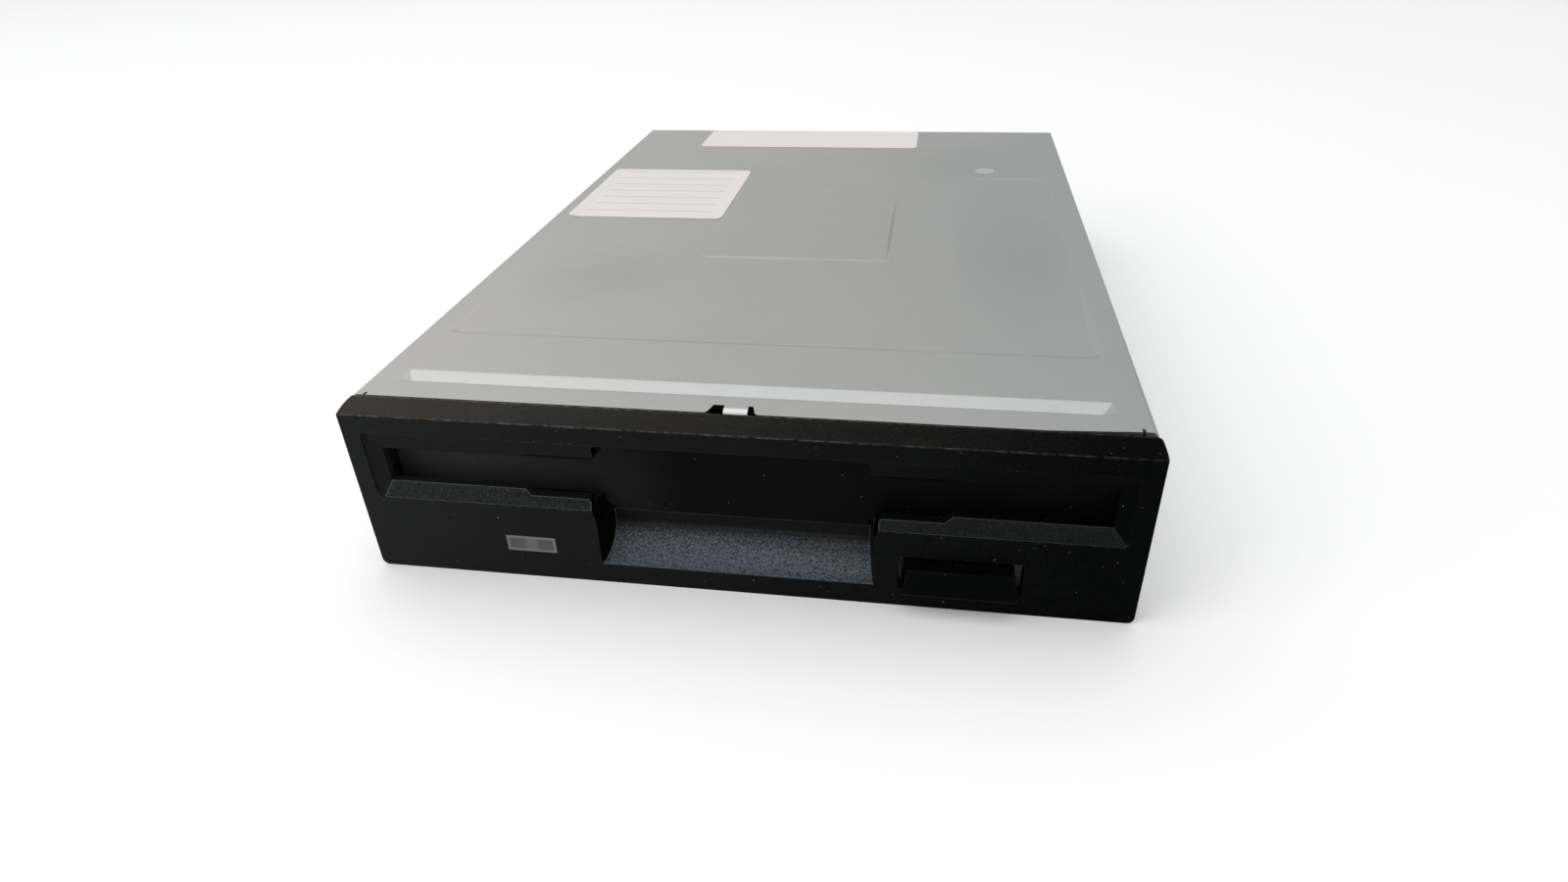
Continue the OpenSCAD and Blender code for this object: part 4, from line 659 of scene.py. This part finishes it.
# %% Cover
cover = merged_copy("top_cover", "pressed_cover", within=0.00003)
high = top_z * 1000
panel_floor, dimple_floor, bead_floor = high - 0.35, high - 0.5, high - 0.7
dimple_at = Vector((33.4, 111.9))
slope = 0.6
cut(cover, 0, [38.0])
moved = move(cover, lambda p: p.y < 4.3, (0.0, 0.15, 0.0))
moved += move(cover, lambda p: p.x > 38.5 and p.y < 4.45, (0.0, 0.7, 0.0))


def on_panel(p):
    return abs(p.z - panel_floor) < 0.02


def on_rim(p):
    return 7.7 < p.y < 11.1 and abs(p.z - high) < 0.03


def in_trough(p):
    return 8.6 < p.y < 10.2 and abs(p.x) < 45.5 and abs(p.z - bead_floor) < 0.03


def at_dimple(p):
    return abs(p.z - dimple_floor) < 0.03 and (p.xy - dimple_at).length < 3


def at_fold(a, b, low, up):
    return abs(a.z - high) < 0.02 and abs(b.z - high) < 0.02 and up > 0.99 and low < 0.1


def move_sides(test, out_mm, up_mm=0.0):
    return sum(move(cover, lambda p: test(p, side * p.x), (side * out_mm, 0.0, up_mm)) for side in (-1, 1))


moved += move_sides(lambda p, out: on_panel(p) and out > 44.8, -slope)
moved += move(cover, lambda p: on_panel(p) and p.y < 24.5, (0.0, slope, 0.0))
moved += move(cover, lambda p: on_panel(p) and p.y > 104.6, (0.0, -slope, 0.0))
moved += move_sides(lambda p, out: on_panel(p) and 14.65 < out < 16.3 and p.y > 57.0, slope)
moved += move(cover, lambda p: on_panel(p) and abs(p.x) < 16.95 and 57.0 < p.y < 58.75,
              (0.0, -1.4 * slope, 0.0))
moved += move(cover, lambda p: on_panel(p) and p.y > 40, (0.0, 0.0, 0.22))
moved += move(cover, lambda p: on_panel(p) and p.y < 40, (0.0, 0.0, 0.1))
moved += move_sides(lambda p, out: on_rim(p) and out > 45.9, 0.2)
moved += move_sides(lambda p, out: on_rim(p) and 0 < out < 45.0 and p.y < 8.0, 1.8)
moved += move_sides(lambda p, out: on_rim(p) and 0 < out < 45.0 and p.y > 10.8, 1.6)
moved += move(cover, lambda p: in_trough(p) and p.y < 9.0, (0.0, -0.53, 0.37))
moved += move(cover, lambda p: in_trough(p) and 9.3 < p.y < 9.5, (0.0, 0.0, 0.52))
moved += move_sides(lambda p, out: in_trough(p) and p.y > 10.0 and out > 0, 1.1, 0.6)
moved += move(cover, at_dimple, (0.0, 0.0, 0.28))

# The lines of the slopes come first, then those of the bead, the fold and the corners of the notch in front,
# and the folds round the outside.
rounded = soften(cover, lambda a, b, low, up: (
    up > 0.99 and 0.5 < low < 0.9985 and min(a.z, b.z) > high - 0.4
    and min(a.y, b.y) > 15 and max(a.y, b.y) < 108 and max(abs(a.x), abs(b.x)) < 48), 0.28, 3)
rounded += soften(cover, lambda a, b, low, up: (
    up - low > 0.004 and low > 0.2 and min(a.z, b.z) > high - 0.8
    and min(a.y, b.y) > 6 and max(a.y, b.y) < 13), 0.2, 4)
rounded += soften(cover, lambda a, b, low, up: (
    at_fold(a, b, low, up) and max(abs(a.x), abs(b.x)) < 2.2
    and min(a.y, b.y) > 3.6 and max(a.y, b.y) < 4.2), 0.9, 5)
rounded += soften(cover, lambda a, b, low, up: (
    max(abs(abs(a.x) - 3.07), abs(abs(b.x) - 3.07)) < 0.05
    and max(a.y, b.y) < 3.8 and abs(a.z - b.z) > 0.3), 0.4, 4)
rounded += soften(cover, lambda a, b, low, up: (
    at_fold(a, b, low, up) and (
        min(abs(a.x), abs(b.x)) > 50.3 or min(a.y, b.y) > 146.6
        or (min(abs(a.x), abs(b.x)) > 49.0 and min(a.y, b.y) > 145.3))), 0.6, 4)
bpy.ops.object.mode_set(mode="OBJECT")
bpy.ops.object.shade_smooth_by_angle(angle=math.radians(35))
round_edges(cover, "sheared_edges", 0.1, 60, harden=False)
even = cover.modifiers.new("even_shading", "WEIGHTED_NORMAL")
even.keep_sharp = True
coat(cover, cover_zinc, highlight_zinc, notch_shade_steel)
highlight_slot, sheared = 1, 2
for face in cover.data.polygons:
    middle = in_mm(face.center)
    in_bead = 7.7 < middle.y < 11.1 and abs(middle.x) < 46 and face.normal.y < -0.05
    in_dimple = (middle.xy - dimple_at).length < 2.2
    on_tab = -1.2 < middle.x < 2.05 and middle.y < 5.4 and face.normal.y < -0.05
    in_notch = abs(middle.x) < 3.3 and middle.y < 5.6 and abs(face.normal.z) < 0.35 and not on_tab
    # the up-facing faces of the bead, dimple and tab take the brighter zinc, a painted highlight
    if high - 0.75 < middle.z < high - 0.008 and face.normal.z > 0.3 and (in_bead or in_dimple or on_tab):
        face.material_index = highlight_slot
    # the walls of the notch take the near-black steel, painted shade
    if middle.z > high - 0.75 and in_notch:
        face.material_index = sheared
print("moved", moved, "points and rounded", rounded, "edges;", len(cover.data.polygons), "faces")

# %% [markdown]
# ## The moulded bezel
#
# The bezel keeps the form of its solid. On a copy of it, the step at the left rim of the dish is sunk by
# another 0.25 mm, because it shows as a dark line there. The faces of the finger scoop and of the strips below
# the slot take the leathery material, picked by their place and by the way they look. Then every sharp edge
# gets the small round that a moulding tool leaves.

# %% Bezel
bezel = merged_copy("front_bezel", "moulded_bezel")
coat(bezel, bezel_abs, leather_abs)
deepened = move(bezel, lambda p: p.x < -47.6 and abs(p.y - 0.2) < 0.02 and 11.0 < p.z < 22.0,
                (0.0, 0.25, 0.0))
bpy.ops.object.mode_set(mode="OBJECT")
leathery = 1
grained = 0
for face in bezel.data.polygons:
    middle = in_mm(face.center)
    forward = face.normal.y < 0.01 and face.normal.z > -0.05 and abs(face.normal.x) < 0.3
    in_scoop = abs(middle.x) < 18.2 and middle.y > 0.05 and middle.z < 8.8 and forward
    on_strip = 0.2 < face.normal.z < 0.9 and 11.4 < middle.z < 14.2 and 0.1 < middle.y < 1.2
    if in_scoop or on_strip:
        face.material_index = leathery
        grained += 1
only(bezel)
bpy.ops.object.shade_smooth_by_angle(angle=math.radians(30))
round_edges(bezel, "moulded_edges", 0.2, 35)
print("deepened", deepened, "points; leathery faces:", grained, "of", len(bezel.data.polygons))

# %% [markdown]
# ## The dust door
#
# Seen from above, a thin line of the inside would show between the door and the slot's lower edge. The real
# door hangs a little past that edge. On a copy of it, the lower edge of both sides is moved down by 0.5 mm.

# %% Door
door = merged_copy("dust_door", "hanging_door", "door")
coat(door, door_abs)
lowest = min(p.co.z for p in door.data.vertices) * 1000
lowered = move(door, lambda p: lowest + 2.0 < p.z < 12.4 and abs(p.x) > 17, (0.0, 0.0, -0.5))
bpy.ops.object.mode_set(mode="OBJECT")
round_edges(door, "moulded_edges", 0.15, 40)
bpy.ops.object.shade_smooth_by_angle(angle=math.radians(30))
print("lowered", lowered, "points of the door")

# %% [markdown]
# ## Crosses in the screw heads
#
# A screw's head is forged: its shoulder is round, and a cross for the driver is struck into it. The rim of
# each head is bevelled first. One driver's bit is modelled, a bar that narrows to its tip and is copied across
# itself. A copy of it goes into every head, turned the way that the head looks, and a Boolean takes it away.

# %% Screws
def solids_of(piece):
    near = {point.index: [] for point in piece.data.vertices}
    for edge in piece.data.edges:
        first, second = edge.vertices
        near[first].append(second)
        near[second].append(first)
    boxes = []
    while near:
        waiting, group = [next(iter(near))], []
        while waiting:
            i = waiting.pop()
            if i in near:
                waiting += near.pop(i)
                group.append(piece.data.vertices[i].co)
        boxes.append([Vector([ends(values) for values in zip(*group)]) for ends in (min, max)])
    return boxes


bit_size, tip_share = (0.0021, 0.0005, 0.0011), (0.5, 0.6, 1.0)
bpy.ops.object.select_all(action="DESELECT")
bpy.ops.mesh.primitive_cube_add(size=1.0, location=(0.0, 0.0, 0.0))
bit = bpy.context.active_object
bpy.ops.object.mode_set(mode="EDIT")
bpy.ops.transform.resize(value=bit_size)
pick(bit, "VERT", lambda p: p.z < 0)
bpy.ops.transform.resize(value=tip_share)
bpy.ops.mesh.select_all(action="SELECT")
bpy.ops.mesh.duplicate()
bpy.ops.transform.rotate(value=math.pi / 2, orient_axis="Z", center_override=(0.0, 0.0, 0.0))
bpy.ops.object.mode_set(mode="OBJECT")


def crossed(node, name, axis, way, turn):
    piece = merged_copy(node, name)
    boxes = solids_of(piece)
    head = (max if way > 0 else min)(box[way > 0][axis] for box in boxes)
    rim = (head - (face_y if axis == 1 else 0.0)) * 1000
    soften(piece, lambda a, b, low, up: abs(a[axis] - rim) < 0.01 and abs(b[axis] - rim) < 0.01, 0.35, 3)
    only(piece)
    bits = []
    for low, high_end in boxes:
        at = (low + high_end) / 2
        at[axis] = head
        copy = bpy.data.objects.new("bit", bit.data.copy())
        bpy.context.scene.collection.objects.link(copy)
        spin = 0.4 + len(bits)
        turned = Matrix.Rotation(turn, 4, "X") @ Matrix.Rotation(spin, 4, "Z")
        copy.matrix_world = Matrix.Translation(at) @ turned
        bits.append(copy)
    only(bits[0])
    for copy in bits:
        copy.select_set(True)
    bpy.ops.object.join()
    only(piece)
    struck = piece.modifiers.new("struck_cross", "BOOLEAN")
    struck.object = bits[0]
    struck.solver = "EXACT"
    struck.use_self = True
    bpy.ops.object.modifier_apply(modifier=struck.name)
    bpy.data.objects.remove(bits[0])
    bpy.ops.object.shade_smooth_by_angle(angle=math.radians(30))
    coat(piece, screw_zinc)
    print(name, "has", len(boxes), "screws and", len(piece.data.polygons), "faces")


crossed("board_screws", "crossed_board_screws", 2, 1, 0.0)
crossed("motor_screws", "crossed_motor_screws", 2, -1, math.pi)
crossed("stepper_screws", "crossed_stepper_screws", 1, 1, -math.pi / 2)
bpy.data.objects.remove(bit)

# %% [markdown]
# ## The thread of the lead screw
#
# The stepper's screw drives the heads: one turn moves them 3.75 mm. Its thread is one coarse ridge with
# slanted flanks. The solid is a plain bar, so a copy of it is narrowed to the thread's root. The ridge starts
# as a flat section beside the axis. A Screw modifier sweeps it round and along, and its open ends are filled.

# %% Lead screw
lead, root, crown = 0.00375, 0.0012, 0.0015
bar_beyond = 0.0013
ridge_foot, crown_share, sunk = 0.0026, 0.8, 0.0001
threaded = merged_copy("lead_screw", "threaded_lead_screw", "screw")
low, high_end = solids_of(threaded)[0]
axis_at = (low + high_end) / 2


def is_thick(x, z):
    return math.hypot(x - axis_at.x, z - axis_at.z) > bar_beyond


thick = [p.co.y for p in threaded.data.vertices if is_thick(p.co.x, p.co.z)]
pick(threaded, "VERT", lambda p: is_thick(p.x / 1000, p.z / 1000))
narrowing = root / crown
bpy.ops.transform.resize(
    value=(narrowing, 1.0, narrowing), center_override=(axis_at.x, 0.0, axis_at.z))
bpy.ops.object.mode_set(mode="OBJECT")
bpy.ops.object.select_all(action="DESELECT")
bpy.ops.mesh.primitive_plane_add(size=1.0, location=(0.0, 0.0, 0.0))
ridge = bpy.context.active_object
bpy.ops.object.mode_set(mode="EDIT")
bpy.ops.transform.resize(value=(crown - root + sunk, ridge_foot, 1.0))
bpy.ops.transform.translate(value=((crown + root - sunk) / 2, 0.0, 0.0))
pick(ridge, "VERT", lambda p: p.x > 1000 * root)
bpy.ops.transform.resize(value=(1.0, crown_share, 1.0))
bpy.ops.mesh.select_all(action="SELECT")
bpy.ops.mesh.delete(type="ONLY_FACE")
bpy.ops.object.mode_set(mode="OBJECT")
turns = int((max(thick) - min(thick) - ridge_foot) / lead)
sweep = ridge.modifiers.new("thread", "SCREW")
sweep.axis = "Y"
sweep.screw_offset = lead
sweep.iterations = turns
sweep.steps = sweep.render_steps = 48
bpy.ops.object.modifier_apply(modifier=sweep.name)
bpy.ops.object.mode_set(mode="EDIT")
bpy.ops.mesh.select_all(action="SELECT")
bpy.ops.mesh.fill_holes(sides=4)
bpy.ops.mesh.normals_make_consistent(inside=False)
start_y = (min(thick) + max(thick) - turns * lead) / 2
bpy.ops.transform.translate(value=(axis_at.x, start_y, axis_at.z))
only(threaded)
ridge.select_set(True)
bpy.ops.object.join()
bpy.ops.object.shade_smooth_by_angle(angle=math.radians(30))
coat(threaded, ground_steel)
print("thread of", turns, "turns,", len(threaded.data.polygons), "faces")

# %% [markdown]
# ## The eject springs
#
# Two coil springs pull the slider and its button forward. Each hooks on a post of the frame and on a lug of
# the slider, so it is shorter by the whole travel when the button is out. A rigid copy would stick out past
# the lug. This copy of the springs is attached to the frame and gets a mesh of its own.

# %% Springs
springs = merged_copy("eject_springs", "pulling_springs")
coat(springs, spring_wire)
bpy.ops.object.shade_smooth_by_angle(angle=math.radians(50))
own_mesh(springs)

# %% [markdown]
# ## Paper labels
#
# Two white paper labels are stuck on the cover. Paper bends with what it is stuck to, so each is a flat
# sheet with round corners, cut into strips, laid down on the cover by a Shrinkwrap and made as thick as
# coated paper by a Solidify. Their print is left off: the side label keeps a few plain ruled lines.

# %% Labels
paper, tree, shader, place = start("paper_coated_white", Roughness=0.55, IOR=1.45, Specular_IOR_Level=0.3)
where = axes_of(tree, place)
fibre = noise(tree, place, 0.4, 3.0)
clean = mix(tree, fibre, linear("#d6d0ce"), linear("#e3dddc"))
row_mm, ruled_x, ruled_half = 4.4, -0.0323, 0.0125
rows = calc(tree, "MULTIPLY", where["Y"], per_mm(row_mm))
row = calc(tree, "FRACT", rows)
ruled = calc(tree, "GREATER_THAN", row, 0.9)
inside = calc(tree, "COMPARE", where["X"], ruled_x, ruled_half)
in_front = calc(tree, "LESS_THAN", where["Y"], face_y + 0.112)
on_label = calc(tree, "MULTIPLY", inside, in_front)
printed = calc(tree, "MULTIPLY", ruled, on_label)
faint = calc(tree, "MULTIPLY", printed, 0.5)
lined = mix(tree, faint, clean, linear("#a3a0a0"))
tree.links.new(lined, shader.inputs["Base Color"])
bumped(tree, shader, 0.4, 0.00001, fibre)
paper_thick, glue_gap, corner = 0.00009, 0.00002, 0.0013
strips, bend_step_mm = 12, 0.25


def label(name, x_mm, y_mm, bends_x, bends_y):
    bpy.ops.object.select_all(action="DESELECT")
    bpy.ops.mesh.primitive_plane_add(size=1.0, location=(0.0, 0.0, 0.0))
    piece = bpy.context.active_object
    piece.name = name
    bpy.ops.object.mode_set(mode="EDIT")
    bpy.ops.transform.resize(value=((x_mm[1] - x_mm[0]) / 1000, (y_mm[1] - y_mm[0]) / 1000, 1.0))
    bpy.ops.transform.translate(value=(sum(x_mm) / 2000, face_y + sum(y_mm) / 2000, top_z + 0.001))
    bpy.ops.mesh.bevel(offset=corner, segments=5, affect="VERTICES")
    bpy.ops.object.mode_set(mode="OBJECT")
    for axis, (low, high_end), bends in ((0, x_mm, bends_x), (1, y_mm, bends_y)):
        spread = [low + (high_end - low) * i / strips for i in range(1, strips)]
        near = [bend + bend_step_mm * i for bend in bends for i in range(-4, 5)]
        cut(piece, axis, spread + near)
    only(piece)
    wrap = piece.modifiers.new("stuck_down", "SHRINKWRAP")
    wrap.target = cover
    wrap.wrap_method = "PROJECT"
    wrap.use_project_x = wrap.use_project_y = False
    wrap.use_project_z = True
    wrap.use_negative_direction = True
    wrap.use_positive_direction = False
    wrap.offset = glue_gap
    bpy.ops.object.modifier_apply(modifier=wrap.name)
    thick = piece.modifiers.new("paper", "SOLIDIFY")
    thick.thickness = paper_thick
    thick.offset = 1.0
    bpy.ops.object.modifier_apply(modifier=thick.name)
    bpy.ops.object.shade_smooth_by_angle(angle=math.radians(30))
    coat(piece, paper)
    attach(piece, "frame")
    low = min(p.co.z for p in piece.data.vertices)
    print(name, "lies", round((low - top_z) * 1000, 3), "mm from the cover's top")


label("side_label", (-47.7, -17.0), (76.7, 109.3), [-46.1, -16.5], [105.9])
label("rear_label", (-33.5, 18.3), (129.9, 145.6), [], [])

# %% [markdown]
# ## Floor and light
#
# The drive lies on a plain white table under broad, soft light. One large lamp hangs overhead, a little to
# the left, so that faces which look up are bright and the bezel's face stays dark. A small, weak lamp in front
# lights its left end. The room itself is evenly grey: the plated cover mirrors it. The plain view transform
# keeps black as black and white as white.

# %% Floor and light
bpy.context.scene.view_settings.view_transform = "Standard"
bpy.ops.object.select_all(action="DESELECT")
bpy.ops.mesh.primitive_plane_add(size=6.0, location=(0.0, 0.0, 0.0))
floor = bpy.context.active_object
floor.name = "floor"
table_white, tree, shader, place = start("table_painted_white", Roughness=0.8, Specular_IOR_Level=0.2)
shader.inputs["Base Color"].default_value = linear("#fdfdfd")
coat(floor, table_white)
world = bpy.data.worlds.new("soft_room")
bpy.context.scene.world = world
world.use_nodes = True
room = world.node_tree.nodes["Background"]
room.inputs["Color"].default_value = linear("#fbfcfa")
room.inputs["Strength"].default_value = 0.62


def lamp(name, size, power, at, target, colour):
    data = bpy.data.lights.new(name, "AREA")
    data.shape = "RECTANGLE"
    data.size, data.size_y = size
    data.energy = power
    data.color = linear(colour)[:3]
    made = bpy.data.objects.new(name, data)
    bpy.context.scene.collection.objects.link(made)
    made.location = at
    made.rotation_euler = (Vector(target) - Vector(at)).to_track_quat("-Z", "Y").to_euler()


lamp("overhead_lamp", (2.2, 1.9), 11.5, (-0.3, 0.0, 1.15), (-0.1, 0.0, 0.0), "#fbfcff")
lamp("left_lamp", (0.3, 0.25), 0.5, (-0.34, face_y - 0.22, 0.2), (-0.03, face_y, 0.012), "#fffdf8")
